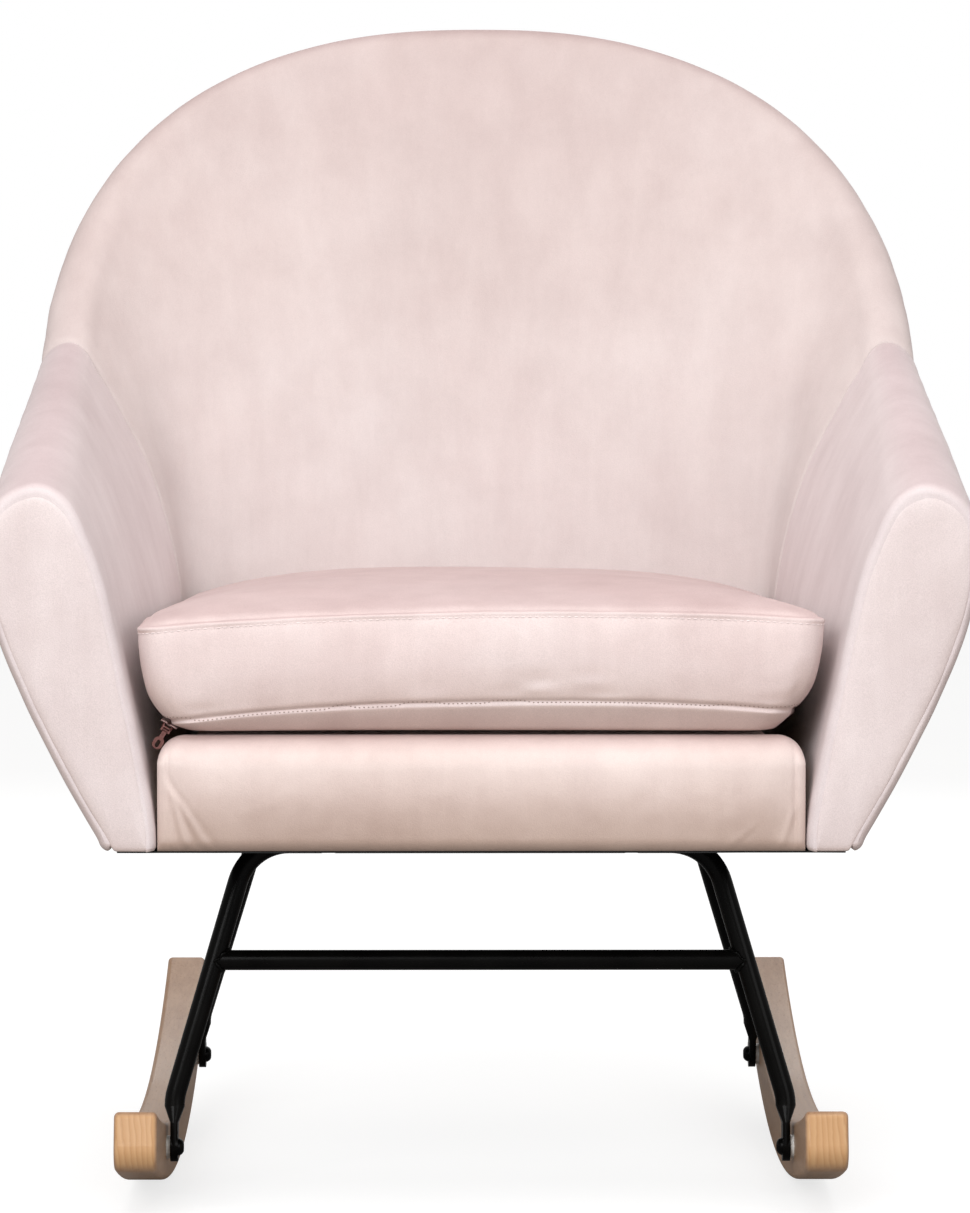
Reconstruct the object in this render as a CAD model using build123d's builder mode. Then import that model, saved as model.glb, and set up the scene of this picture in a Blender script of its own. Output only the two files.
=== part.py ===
from build123d import *
import os
from math import asin, atan2, cos, pi, sin, sqrt

os.makedirs("parts", exist_ok=True)

# Frame: +Z up, the chair's front faces -Y, left is -X. The origin is on the floor,
# in the middle of the chair's box. All sizes are in millimetres.

# ---- overall ----
underside = 286.0          # bottom of the upholstered body
arm_front_y = -400.0       # face of the arm fronts
seam_y = 63.0              # plane where the arms meet the back; the back fans out from here
gap = 0.4                  # clearance between neighbouring upholstery layers

# ---- rockers ----
rocker_radius = 1300.0     # floor-side arc
rocker_height = 45.0
rocker_thick = 33.0
rocker_inner_x = 247.0
rocker_contact_y = -50.0   # where the rocker meets the floor at rest
rocker_front_y = -380.0
rocker_rear_y = 403.4

# ---- steel legs ----
tube_d = 16.0
tube_wall = 1.5
front_top_y = -205.0
front_foot_y = -236.0
rear_top_y = 118.0
rear_foot_y = 221.0
leg_top_x = 183.0          # where the leg's line meets the top run's line
top_run_z = 276.5
stretcher_z = 185.0
flat_x = 241.0             # middle of the flattened tube end
flat_thick = 6.0
flat_wide = 23.0
flat_above_bolt = 19.0
flare_long = 13.0          # from round tube to flat
bend_radius = 42.0
knee_straight = 6.8        # round tube between the flare and the knee
head_hole_d = 11.2         # lets a hoop bolt's head into the top run

# ---- fasteners ----
bolt_d = 8.0
bolt_head_d = 14.0
bolt_head_h = 4.4
bolt_socket = 5.0
insert_d = 12.0
insert_long = 20.0
hoop_bolt_d = 6.0
hoop_bolt_x = 120.0
bolt_clear = 0.25          # round the rocker bolts
nut_clear = 1.2            # round the hoop bolts, in the rails

# ---- seat frame ----
rail_thick = 22.0
rail_top = 336.0
front_rail_top = 358.0
front_rail_y = -380.0      # front face of the front rail
seat_half = 245.6          # outer faces of the side rails
front_rail_half = 230.0
rear_rail_y = 106.0        # front face of the rear rail
cross_rail_top = 312.0
webbing_wide = 50.0
webbing_thick = 1.8
deck_top = 376.0
deck_bottom = 341.0
deck_half = 222.0
deck_rear_y = 122.0
border_front_y = -395.0
border_half = 245.4
border_top = 371.0

# ---- tub wall ----
inner_half = 246.0         # inside half-width at the seat
inner_deep = 67.0          # inside depth behind the seam plane, at the seat
outer_half_front = 284.0   # outside half-width at the underside, arm front
outer_half_seam = 280.0    # the same at the seam plane
outer_deep = 137.0         # outside depth behind the seam plane, at the underside
brim_front = 369.0         # outside half-width at the arm's shoulder
brim_seam = 364.0
brim_deep = 225.0          # outside depth of the back's brim
arm_rim_z = 558.0
arm_rise = 0.25            # climb of the arm's top towards the back
back_rim_z = 951.0
arm_rim_thick = 78.0
seam_rim_thick = 46.0
back_rim_thick = 54.0
cover_thick = 10.0
frame_thick = 12.0
pad_thick = 34.0
panel_thick = 12.0

# ---- seat cushion ----
cushion_front_y = -394.0
cushion_rear_y = 118.0
cushion_bottom = deck_top + 0.4
cushion_front_half = 247.0
cushion_rear_half = 236.0
cushion_top_front_half = 262.0
cushion_top_rear_half = 241.0
cushion_seam_z = 462.0
cushion_top = 486.0
bevel_in = 20.0
bevel_up = 12.0

# ---- zip ----
zip_from_y = -374.0
zip_long = 400.0
zip_tape_wide = 13.0


def save(piece, name):
    """Label a finished piece and write it as its own STEP file."""
    piece.part.label = name
    export_step(piece.part, f"parts/{name}.step")


def ring(angle, across, deep, power):
    """Radius of a superellipse, across wide and deep long, in one direction."""
    return ((abs(cos(angle)) / across) ** power + (abs(sin(angle)) / deep) ** power) ** (-1 / power)


def mix(a, b, t):
    """Value a part t of the way to b."""
    return a + (b - a) * t


# ------------------------------------------------------------------ tub wall


class Wall:
    """One upright section through the tub wall: its radius and height run along the plane's axes."""

    def __init__(self, y, angle, foot, flare, brim, swell, rim_z, thick):
        self.plane = Plane(
            origin=(0, y, 0), x_dir=(cos(angle), sin(angle), 0), z_dir=(sin(angle), -cos(angle), 0)
        )
        self.foot_in, self.foot_out = foot
        self.flare_z, self.flare_power = flare
        self.brim, self.rim_z, self.thick = brim, rim_z, thick
        self.shoulder = rim_z - thick / 2
        self.swell_z, self.swell_power = swell
        self.levels = [underside] + [mix(self.flare_z, self.shoulder, t / 4) for t in range(5)]

    def inner(self, z):
        """Radius of the wall's inner face at height z."""
        rise = max(0.0, z - self.flare_z) / (self.shoulder - self.flare_z)
        return mix(self.foot_in, self.brim - self.thick, rise**self.flare_power)

    def outer(self, z):
        """Radius of the wall's outer face at height z."""
        left = (self.swell_z - z) / (self.swell_z - underside)
        tuck = 1.0 if left > 0 else 0.06
        return mix(self.brim, self.foot_out, tuck * abs(left) ** self.swell_power)

    def line(self, face):
        """Points up one face."""
        return [(face(z), z) for z in self.levels]

    def pad_back(self, clear):
        """Points up the back of the inner pad, which thins where the wall has no room."""
        room = cover_thick + frame_thick + 2 * gap
        depths = [min(pad_thick, self.outer(z) - self.inner(z) - room) for z in self.levels]
        return [(self.inner(z) + depth + clear, z) for z, depth in zip(self.levels, depths)]

    def rim(self):
        """Start, crest and end of the rounded rim."""
        return (
            (self.brim - self.thick, self.shoulder),
            (self.outer(self.shoulder) - self.thick / 2, self.rim_z),
            (self.outer(self.shoulder), self.shoulder),
        )


def arm_wall(y):
    """Section of the right arm at depth y."""
    t = (y - arm_front_y) / (seam_y - arm_front_y)
    return Wall(
        y=y,
        angle=0.0,
        foot=(inner_half, mix(outer_half_front, outer_half_seam, t)),
        flare=(mix(300.0, 372.0, t), mix(1.1, 2.5, t)),
        brim=mix(brim_front, brim_seam, t),
        swell=(500.0, mix(1.6, 2.0, t)),
        rim_z=arm_rim_z + arm_rise * (y - arm_front_y),
        thick=mix(arm_rim_thick, seam_rim_thick, t),
    )


def back_wall(turn):
    """Section of the back; turn runs from 0 at the right seam through 90 in the middle to 180."""
    x = brim_seam * abs(cos(turn)) ** 0.833
    y = brim_deep * (1 - (x / brim_seam) ** 2.6) ** (1 / 2.6)
    seam_rim_z = arm_rim_z + arm_rise * (seam_y - arm_front_y)
    angle = atan2(y, x if turn <= pi / 2 else -x)
    middle = sin(angle) ** 2
    shoulder_z = mix(seam_rim_z, back_rim_z, sin(turn) ** 0.833)
    thick = mix(seam_rim_thick, back_rim_thick, middle)
    return Wall(
        y=seam_y,
        angle=angle,
        foot=(ring(angle, inner_half, inner_deep, 6), ring(angle, outer_half_seam, outer_deep, 2.6)),
        flare=(372.0, mix(2.5, 1.1, middle)),
        brim=sqrt(x * x + y * y),
        swell=(mix(500.0, shoulder_z - thick / 2, middle), mix(2.0, 1.3, middle)),
        rim_z=shoulder_z,
        thick=thick,
    )


def pad_section(wall):
    """Foam and cover inside the frame, rolled over the rim."""
    start, crest, end = wall.rim()
    back_points = wall.pad_back(0)
    with BuildSketch(wall.plane) as section:
        with BuildLine():
            Polyline(*wall.line(wall.inner))
            ThreePointArc(start, crest, end)
            Polyline(end, *reversed(back_points))
            Line(back_points[0], (wall.foot_in, underside))
        make_face()
    return section.sketch


def board_section(wall, face_points, thick):
    """A layer of even thickness under the rim, behind or in front of a line of points."""
    face_points = [(r, min(z, wall.shoulder - gap)) for r, z in face_points]
    other_points = [(r + thick, z) for r, z in reversed(face_points)]
    with BuildSketch(wall.plane) as section:
        with BuildLine():
            Polyline(*face_points, *other_points, face_points[0])
        make_face()
    return section.sketch


def full_section(wall):
    """The whole section, inner face, rim and outer face."""
    with BuildSketch(wall.plane) as section:
        with BuildLine():
            Polyline(*wall.line(wall.inner))
            ThreePointArc(*wall.rim())
            Polyline(*reversed(wall.line(wall.outer)))
            Line((wall.foot_out, underside), (wall.foot_in, underside))
        make_face()
    return section.sketch


arm_stations = [arm_wall(y) for y in (arm_front_y + panel_thick + gap, -290, -180, -60, seam_y - gap)]
back_stations = [back_wall(pi * step / 16) for step in range(17)]

with BuildPart() as right_arm_pad:
    loft([pad_section(wall) for wall in arm_stations], ruled=True)

with BuildPart() as right_arm_frame:
    loft([board_section(wall, wall.pad_back(gap), frame_thick) for wall in arm_stations], ruled=True)

with BuildPart() as right_outer_side_panel:
    loft([board_section(wall, wall.line(wall.outer), -cover_thick) for wall in arm_stations], ruled=True)

front_section = full_section(arm_wall(arm_front_y))
with BuildPart() as right_arm_front_panel:
    extrude(front_section, amount=-panel_thick)
    fillet(faces().sort_by(Axis.Y)[0].edges(), radius=4)

with BuildPart() as back_pad:
    loft([pad_section(wall) for wall in back_stations], ruled=True)

with BuildPart() as back_frame:
    loft([board_section(wall, wall.pad_back(gap), frame_thick) for wall in back_stations], ruled=True)

with BuildPart() as outer_back_panel:
    loft([board_section(wall, wall.line(wall.outer), -cover_thick) for wall in back_stations], ruled=True)

save(right_arm_pad, "right_arm_pad")
save(right_arm_frame, "right_arm_frame")
save(right_outer_side_panel, "right_outer_side_panel")
save(right_arm_front_panel, "right_arm_front_panel")
save(back_pad, "back_pad")
save(back_frame, "back_frame")
save(outer_back_panel, "outer_back_panel")

for right, name in (
    (right_arm_pad, "left_arm_pad"),
    (right_arm_frame, "left_arm_frame"),
    (right_outer_side_panel, "left_outer_side_panel"),
    (right_arm_front_panel, "left_arm_front_panel"),
):
    with BuildPart() as left:
        mirror(right.part, about=Plane.YZ)
    save(left, name)

# ------------------------------------------------------------------ seat frame

with BuildPart() as seat_front_rail:
    with BuildSketch(Plane.XY.offset(underside)):
        with Locations((0, front_rail_y + rail_thick / 2)):
            Rectangle(2 * front_rail_half, rail_thick)
    extrude(amount=front_rail_top - underside)
save(seat_front_rail, "seat_front_rail")

rear_rail_half = 152.0
with BuildPart() as seat_rear_rail:
    with BuildSketch(Plane.XY.offset(underside)):
        with Locations((0, rear_rail_y + rail_thick / 2)):
            Rectangle(2 * rear_rail_half, rail_thick)
        with Locations((-hoop_bolt_x, rear_top_y), (hoop_bolt_x, rear_top_y)):
            Circle(hoop_bolt_d / 2 + nut_clear, mode=Mode.SUBTRACT)
    extrude(amount=rail_top - underside)
save(seat_rear_rail, "seat_rear_rail")

side_rail_from = front_rail_y + rail_thick
side_rail_to = seam_y - gap
with BuildPart() as seat_right_rail:
    with BuildSketch(Plane.XY.offset(underside)):
        with Locations((seat_half - rail_thick / 2, (side_rail_from + side_rail_to) / 2)):
            Rectangle(rail_thick, side_rail_to - side_rail_from)
    extrude(amount=rail_top - underside)
save(seat_right_rail, "seat_right_rail")
with BuildPart() as seat_left_rail:
    mirror(seat_right_rail.part, about=Plane.YZ)
save(seat_left_rail, "seat_left_rail")

cross_half = seat_half - rail_thick
front_cross_wide = 60.0
rear_cross_wide = 40.0
with BuildPart() as front_cross_rail:
    with BuildSketch(Plane.XY.offset(underside)):
        with Locations((0, front_top_y)):
            Rectangle(2 * cross_half, front_cross_wide)
        with Locations((-hoop_bolt_x, front_top_y), (hoop_bolt_x, front_top_y)):
            Circle(hoop_bolt_d / 2 + nut_clear, mode=Mode.SUBTRACT)
    extrude(amount=cross_rail_top - underside)
save(front_cross_rail, "front_cross_rail")

# The rear cross rail ties the side rails together just in front of the rear rail.
with BuildPart() as rear_cross_rail:
    with BuildSketch(Plane.XY.offset(underside)):
        with Locations((0, rear_rail_y - rear_cross_wide / 2)):
            Rectangle(2 * cross_half, rear_cross_wide)
    extrude(amount=cross_rail_top - underside)
save(rear_cross_rail, "rear_cross_rail")

block_side = 55.0
front_block_high = 30.0
with BuildPart() as seat_corner_blocks:
    for side in (-1, 1):
        corner_x = side * cross_half
        with BuildSketch(Plane.XY.offset(underside)):
            with BuildLine():
                Polyline(
                    (corner_x, side_rail_from),
                    (corner_x - side * block_side, side_rail_from),
                    (corner_x, side_rail_from + block_side),
                    (corner_x, side_rail_from),
                )
            make_face()
        extrude(amount=front_block_high)
        rear_y = rear_rail_y - rear_cross_wide
        with BuildSketch(Plane.XY.offset(underside)):
            with BuildLine():
                Polyline(
                    (corner_x, rear_y),
                    (corner_x - side * block_side, rear_y),
                    (corner_x, rear_y - block_side),
                    (corner_x, rear_y),
                )
            make_face()
        extrude(amount=cross_rail_top - underside)
save(seat_corner_blocks, "seat_corner_blocks")

webbing_z = rail_top
webbing_to_y = rear_rail_y + 14
webbing_pitch = 80.0
webbing_ys = range(-310, 51, 90)
with BuildPart() as webbing_lengthwise:
    with BuildSketch(Plane.XY.offset(webbing_z)):
        middle_y = (side_rail_from + webbing_to_y) / 2
        with Locations(*[(side * webbing_pitch, middle_y) for side in range(-2, 3)]):
            Rectangle(webbing_wide, webbing_to_y - side_rail_from)
    extrude(amount=webbing_thick)
save(webbing_lengthwise, "webbing_lengthwise")

with BuildPart() as webbing_crosswise:
    with BuildSketch(Plane.XY.offset(webbing_z + webbing_thick)):
        with Locations(*[(0, y) for y in webbing_ys]):
            Rectangle(2 * (deck_half + 10), webbing_wide)
    extrude(amount=webbing_thick)
save(webbing_crosswise, "webbing_crosswise")

deck_front_y = side_rail_from + 2
with BuildPart() as seat_deck_pad:
    with BuildSketch(Plane.XY.offset(deck_bottom)):
        with Locations((0, (deck_front_y + deck_rear_y) / 2)):
            Rectangle(2 * deck_half, deck_rear_y - deck_front_y)
        fillet(vertices().group_by(Axis.Y)[-1], radius=50)
    extrude(amount=deck_top - deck_bottom)
    fillet(faces().sort_by(Axis.Z)[-1].edges().filter_by(Axis.Y), radius=20)
save(seat_deck_pad, "seat_deck_pad")

# The front border wraps the front rail's face and top, with rounded upper ends.
with BuildPart() as front_border_pad:
    with BuildSketch(Plane.YZ.offset(-border_half)):
        with BuildLine():
            Polyline(
                (border_front_y, underside),
                (border_front_y, border_top),
                (deck_front_y - gap, border_top),
                (deck_front_y - gap, front_rail_top + gap),
                (front_rail_y - gap, front_rail_top + gap),
                (front_rail_y - gap, underside),
                (border_front_y, underside),
            )
        make_face()
    extrude(amount=2 * border_half)
    fillet(faces().sort_by(Axis.Z)[-1].edges().filter_by(Axis.Y), radius=20)
    fillet(faces().sort_by(Axis.Z)[-1].edges().sort_by(Axis.Y)[0], radius=10)
save(front_border_pad, "front_border_pad")

# The dust cover closes the whole underside, a little inside the outer covers' lower edge.
dust_inset = 8.0
dust_front_y = arm_front_y + panel_thick + 2


def dust_edge(angle):
    """Point on the dust cover's edge behind the seam plane."""
    radius = ring(angle, outer_half_seam - dust_inset, outer_deep - dust_inset, 2.6)
    return (radius * cos(angle), seam_y + radius * sin(angle))


with BuildPart() as dust_cover:
    with BuildSketch(Plane.XY.offset(underside - 1.0)):
        with BuildLine():
            front_corner = (outer_half_front - dust_inset, dust_front_y)
            Polyline(
                front_corner, *[dust_edge(pi * step / 24) for step in range(25)],
                (-front_corner[0], dust_front_y), front_corner,
            )
        make_face()
        with Locations(*[(x, y) for x in (-hoop_bolt_x, hoop_bolt_x) for y in (front_top_y, rear_top_y)]):
            Circle(hoop_bolt_d / 2 + nut_clear, mode=Mode.SUBTRACT)
    extrude(amount=0.8)
save(dust_cover, "dust_cover")

# ------------------------------------------------------------------ rockers


def rocker_floor(y):
    """Height of the rocker's floor-side arc at depth y."""
    return rocker_radius - sqrt(rocker_radius**2 - (y - rocker_contact_y) ** 2)


front_bolt = (front_foot_y, rocker_floor(front_foot_y) + 26)
rear_bolt = (rear_foot_y, rocker_floor(rear_foot_y) + 26)
bolt_spots = [(side, y, z) for side in (-1, 1) for y, z in (front_bolt, rear_bolt)]


def rocker_end(y, radius):
    """Point on an arc about the rocking centre, on the ray through the floor arc's end at depth y."""
    lean = asin((y - rocker_contact_y) / rocker_radius)
    return (rocker_contact_y + radius * sin(lean), rocker_radius - radius * cos(lean))


top_radius = rocker_radius - rocker_height
with BuildPart() as right_rocker:
    with BuildSketch(Plane.YZ.offset(rocker_inner_x)):
        with BuildLine():
            front_low = rocker_end(rocker_front_y, rocker_radius)
            rear_low = rocker_end(rocker_rear_y, rocker_radius)
            front_high = rocker_end(rocker_front_y, top_radius)
            rear_high = rocker_end(rocker_rear_y, top_radius)
            ThreePointArc(front_low, (rocker_contact_y, 0), rear_low)
            Line(rear_low, rear_high)
            ThreePointArc(rear_high, (rocker_contact_y, rocker_height), front_high)
            Line(front_high, front_low)
        make_face()
        fillet(vertices().sort_by_distance(front_low)[0], radius=18)
        fillet(vertices().sort_by_distance(front_high)[0], radius=6)
        fillet(vertices().sort_by_distance(rear_low)[0], radius=12)
        fillet(vertices().sort_by_distance(rear_high)[0], radius=6)
    extrude(amount=rocker_thick)
    fillet(faces().filter_by(Axis.X).edges(), radius=4)
    for y, z in (front_bolt, rear_bolt):
        with BuildSketch(Plane(origin=(rocker_inner_x, y, z), z_dir=(1, 0, 0))):
            Circle(insert_d / 2)
        extrude(amount=insert_long + 6, mode=Mode.SUBTRACT)
save(right_rocker, "right_rocker")
with BuildPart() as left_rocker:
    mirror(right_rocker.part, about=Plane.YZ)
save(left_rocker, "left_rocker")

with BuildPart() as rocker_threaded_inserts:
    for side, y, z in bolt_spots:
        with BuildSketch(Plane(origin=(side * rocker_inner_x, y, z), z_dir=(side, 0, 0))):
            Circle(insert_d / 2)
            Circle(bolt_d / 2, mode=Mode.SUBTRACT)
        extrude(amount=insert_long)
save(rocker_threaded_inserts, "rocker_threaded_inserts")

spacer_thick = rocker_inner_x - flat_x - flat_thick / 2
spacer_d = 18.0
with BuildPart() as rocker_bolt_spacers:
    for side, y, z in bolt_spots:
        with BuildSketch(Plane(origin=(side * (rocker_inner_x - spacer_thick), y, z), z_dir=(side, 0, 0))):
            Circle(spacer_d / 2)
            Circle(bolt_d / 2 + bolt_clear, mode=Mode.SUBTRACT)
        extrude(amount=spacer_thick)
save(rocker_bolt_spacers, "rocker_bolt_spacers")


def button_bolt(seat, direction, shank_d, shank_long, head_d, head_h, socket):
    """A button-head bolt: its head bears on the seat point and its shank runs along direction."""
    axis = Vector(*direction)
    across = Vector(0, 1, 0)
    seat = Vector(*seat)
    with BuildPart() as bolt:
        with BuildSketch(Plane(origin=seat, x_dir=axis, z_dir=axis.cross(across))):
            with BuildLine():
                Line((-head_h, 0), (-head_h, socket * 0.7))
                ThreePointArc((-head_h, socket * 0.7), (-head_h * 0.62, head_d * 0.42), (0, head_d / 2))
                shank = [(0, shank_d / 2), (shank_long, shank_d / 2), (shank_long, 0)]
                Polyline((0, head_d / 2), *shank, (-head_h, 0))
            make_face()
        revolve(axis=Axis(seat, axis))
        with BuildSketch(Plane(origin=seat - axis * head_h, z_dir=axis)):
            RegularPolygon(radius=socket / 2, side_count=6, major_radius=False)
        extrude(amount=head_h * 0.6, mode=Mode.SUBTRACT)
    return bolt.part


flat_inner_x = flat_x - flat_thick / 2
bolt_head = (bolt_head_d, bolt_head_h, bolt_socket)
rocker_bolt_set = [
    button_bolt((side * flat_inner_x, y, z), (side, 0, 0), bolt_d, 28.0, *bolt_head)
    for side, y, z in bolt_spots
]
with BuildPart() as rocker_bolts:
    add(rocker_bolt_set)
save(rocker_bolts, "rocker_bolts")

# ------------------------------------------------------------------ steel legs


def leg_x(z):
    """Sideways place of a front leg's centre line at height z."""
    knee_z = front_bolt[1] + flat_above_bolt + flare_long + knee_straight
    return mix(flat_x, leg_top_x, (z - knee_z) / (top_run_z - knee_z))


def hoop(top_y, foot, bore):
    """One bent tube with a flattened foot on each side, in a plane that leans from foot to top run."""
    foot_y, foot_z = foot
    rise = Vector(0, top_y - foot_y, top_run_z - foot_z)
    up = rise.normalized()
    lean = Plane(origin=(0, foot_y, foot_z), x_dir=(1, 0, 0), z_dir=Vector(1, 0, 0).cross(up))
    neck_v = flat_above_bolt + flare_long
    knee_v = neck_v + knee_straight
    points = [(-flat_x, neck_v), (-flat_x, knee_v), (-leg_top_x, rise.length)]
    points += [(-x, v) for x, v in reversed(points)]
    with BuildPart() as leg:
        with BuildLine(lean) as route:
            FilletPolyline(*points, radius=bend_radius)
        with BuildSketch(Plane(origin=route.line @ 0, z_dir=route.line % 0)):
            Circle(tube_d / 2)
            if bore:
                Circle(tube_d / 2 - tube_wall, mode=Mode.SUBTRACT)
        sweep(path=route.line)
        for side in (-1, 1):
            neck = lean.from_local_coords(Vector(side * flat_x, neck_v, 0))
            neck_plane = Plane(origin=neck, x_dir=(1, 0, 0), z_dir=-up)
            with BuildSketch(neck_plane):
                RectangleRounded(tube_d, tube_d, tube_d / 2 - 0.05)
            with BuildSketch(neck_plane.offset(flare_long)):
                RectangleRounded(flat_thick, flat_wide, flat_thick / 2 - 0.05)
            loft()
            with BuildSketch(neck_plane.offset(flare_long)):
                RectangleRounded(flat_thick, flat_wide, flat_thick / 2 - 0.05)
            extrude(amount=flat_above_bolt)
            tip = Plane(origin=(side * (flat_x - flat_thick / 2), foot_y, foot_z), z_dir=(side, 0, 0))
            with BuildSketch(tip):
                Circle(flat_wide / 2)
            extrude(amount=flat_thick)
            with BuildSketch(tip):
                Circle(bolt_d / 2 + bolt_clear)
            extrude(amount=flat_thick, mode=Mode.SUBTRACT)
        for side in (-1, 1):
            spot = Plane(origin=(side * hoop_bolt_x, top_y, top_run_z))
            with BuildSketch(spot):
                Circle(hoop_bolt_d / 2 + 0.3)
            extrude(amount=tube_d, mode=Mode.SUBTRACT)
            with BuildSketch(spot):
                Circle(head_hole_d / 2)
            extrude(amount=-tube_d, mode=Mode.SUBTRACT)
    return leg.part


front_hoop_part = hoop(front_top_y, front_bolt, bore=True)
with BuildPart() as front_leg_hoop:
    add(front_hoop_part)
save(front_leg_hoop, "front_leg_hoop")

rear_hoop_part = hoop(rear_top_y, rear_bolt, bore=True)
with BuildPart() as rear_leg_hoop:
    add(rear_hoop_part)
save(rear_leg_hoop, "rear_leg_hoop")

# The stretcher's ends are coped to the front legs.
front_legs_outside = hoop(front_top_y, front_bolt, bore=False)
stretcher_y = mix(front_bolt[0], front_top_y, (stretcher_z - front_bolt[1]) / (top_run_z - front_bolt[1]))
with BuildPart() as stretcher_blank:
    with BuildSketch(Plane.YZ.offset(-leg_x(stretcher_z))):
        with Locations((stretcher_y, stretcher_z)):
            Circle(tube_d / 2)
            Circle(tube_d / 2 - tube_wall, mode=Mode.SUBTRACT)
    extrude(amount=2 * leg_x(stretcher_z))
    add(front_legs_outside, mode=Mode.SUBTRACT)
# Only the length between the legs stays; the thin crescents beyond them are cut away.
with BuildPart() as front_stretcher:
    add(stretcher_blank.part.solids().sort_by(SortBy.VOLUME)[-1])
save(front_stretcher, "front_stretcher")

hoop_head_d = 10.5
head_seat_z = top_run_z + sqrt((tube_d / 2 - tube_wall) ** 2 - (hoop_head_d / 2) ** 2) - 0.1
hoop_head = (hoop_head_d, 3.3, 4.0)
hoop_bolt_set = [
    button_bolt((side * hoop_bolt_x, y, head_seat_z), (0, 0, 1), hoop_bolt_d, top - head_seat_z, *hoop_head)
    for side in (-1, 1)
    for y, top in ((front_top_y, cross_rail_top), (rear_top_y, rail_top))
]
with BuildPart() as hoop_bolts:
    add(hoop_bolt_set)
save(hoop_bolts, "hoop_bolts")

t_nut_d = 18.0
t_nut_thick = 1.2
with BuildPart() as t_nuts:
    for side in (-1, 1):
        for top_y, top_z in ((front_top_y, cross_rail_top), (rear_top_y, rail_top)):
            with BuildSketch(Plane.XY.offset(top_z)):
                with Locations((side * hoop_bolt_x, top_y)):
                    Circle(t_nut_d / 2)
                    Circle(hoop_bolt_d / 2 + 0.1, mode=Mode.SUBTRACT)
            extrude(amount=t_nut_thick)
save(t_nuts, "t_nuts")

# ------------------------------------------------------------------ seat cushion


def cushion_outline(z, front_half, rear_half, inset):
    """The cushion's plan at height z, narrower at the back, with rounded corners."""
    with BuildSketch(Plane.XY.offset(z)) as outline:
        with BuildLine():
            front = cushion_front_y + inset
            rear = cushion_rear_y - inset
            Polyline(
                (-front_half + inset, front),
                (front_half - inset, front),
                (rear_half - inset, rear),
                (-rear_half + inset, rear),
                (-front_half + inset, front),
            )
        make_face()
        fillet(vertices().group_by(Axis.Y)[-1], radius=45)
        fillet(vertices().group_by(Axis.Y)[0], radius=18)
    return outline.sketch


def cushion_body(skin):
    """The cushion's form, shrunk by skin on every side."""
    levels = (
        (cushion_bottom + skin, cushion_front_half, cushion_rear_half, bevel_in),
        (cushion_bottom + bevel_up, cushion_front_half, cushion_rear_half, 0),
        (cushion_seam_z, cushion_top_front_half, cushion_top_rear_half, 0),
        (cushion_top - skin, cushion_top_front_half, cushion_top_rear_half, 40),
    )
    outlines = [cushion_outline(z, front, rear, inset + skin) for z, front, rear, inset in levels]
    with BuildPart() as body:
        loft(outlines, ruled=True)
    return body.part


cover_skin = 2.0
foam = cushion_body(cover_skin + 0.2)
foam_room = cushion_body(cover_skin)
cover_outside = cushion_body(0)

with BuildPart() as cushion_foam:
    add(foam)
save(cushion_foam, "cushion_foam")

with BuildPart() as cushion_cover:
    add(cover_outside)
    add(foam_room, mode=Mode.SUBTRACT)
save(cushion_cover, "cushion_cover")

# ------------------------------------------------------------------ zip

# The zip lies on the bevel along the cushion's lower left edge. Its plane has x along the travel,
# towards the back, y across the tape and z out of the cushion.
edge_run = Vector(cushion_front_half - cushion_rear_half, cushion_rear_y - cushion_front_y, 0).normalized()
bevel_across = Vector(-bevel_in, 0, bevel_up)
bevel_out = bevel_across.cross(edge_run).normalized()
if bevel_out.Z > 0:
    bevel_out = bevel_out * -1
edge_share = (zip_from_y - cushion_front_y) / (cushion_rear_y - cushion_front_y)
zip_edge_x = -mix(cushion_front_half, cushion_rear_half, edge_share)
zip_origin = Vector(zip_edge_x + bevel_in / 2, zip_from_y, cushion_bottom + bevel_up / 2)
zip_plane = Plane(origin=zip_origin, x_dir=edge_run, z_dir=bevel_out)

tape_thick = 1.0
coil_wide = 4.4
coil_high = 1.3
with BuildPart() as cushion_zip:
    with BuildSketch(zip_plane.offset(0.4)):
        with Locations((zip_long / 2, 0)):
            Rectangle(zip_long, zip_tape_wide)
    extrude(amount=tape_thick)
    with BuildSketch(zip_plane.offset(0.4 + tape_thick)):
        with Locations((zip_long / 2, 0)):
            Rectangle(zip_long - 6, coil_wide)
    extrude(amount=coil_high)
save(cushion_zip, "cushion_zip")

slider_long = 12.0
slider_wide = 9.0
slider_from = 8.0                      # from the tape's front end to the slider's middle
slider_low = 0.4 + tape_thick + 0.5    # clear of the tape
slider_high = slider_low + coil_high + 1.6
pin_high = slider_high + 2.0           # the pull's hinge line above the bevel
pin_d = 1.8
lug_wide = 1.5
lug_apart = 4.6
with BuildPart() as zip_slider:
    with BuildSketch(zip_plane.offset(slider_low)):
        with Locations((slider_from, 0)):
            RectangleRounded(slider_long, slider_wide, 2.5)
    extrude(amount=slider_high - slider_low)
    with BuildSketch(zip_plane.offset(slider_low)):
        with Locations((slider_from, 0)):
            Rectangle(slider_long + 2, coil_wide + 1.0)
    extrude(amount=coil_high + 0.5, mode=Mode.SUBTRACT)
    with BuildSketch(zip_plane.offset(slider_high)):
        lug_y = (lug_apart + lug_wide) / 2
        with Locations((slider_from, lug_y), (slider_from, -lug_y)):
            Rectangle(3.4, lug_wide)
    extrude(amount=pin_high - slider_high + 1.4)
    pin_plane = Plane(
        origin=zip_plane.from_local_coords(Vector(slider_from, -lug_apart / 2 - lug_wide, pin_high)),
        x_dir=zip_plane.x_dir,
        z_dir=zip_plane.y_dir,
    )
    with BuildSketch(pin_plane):
        Circle(pin_d / 2)
    extrude(amount=lug_apart + 2 * lug_wide)
save(zip_slider, "zip_slider")

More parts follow.
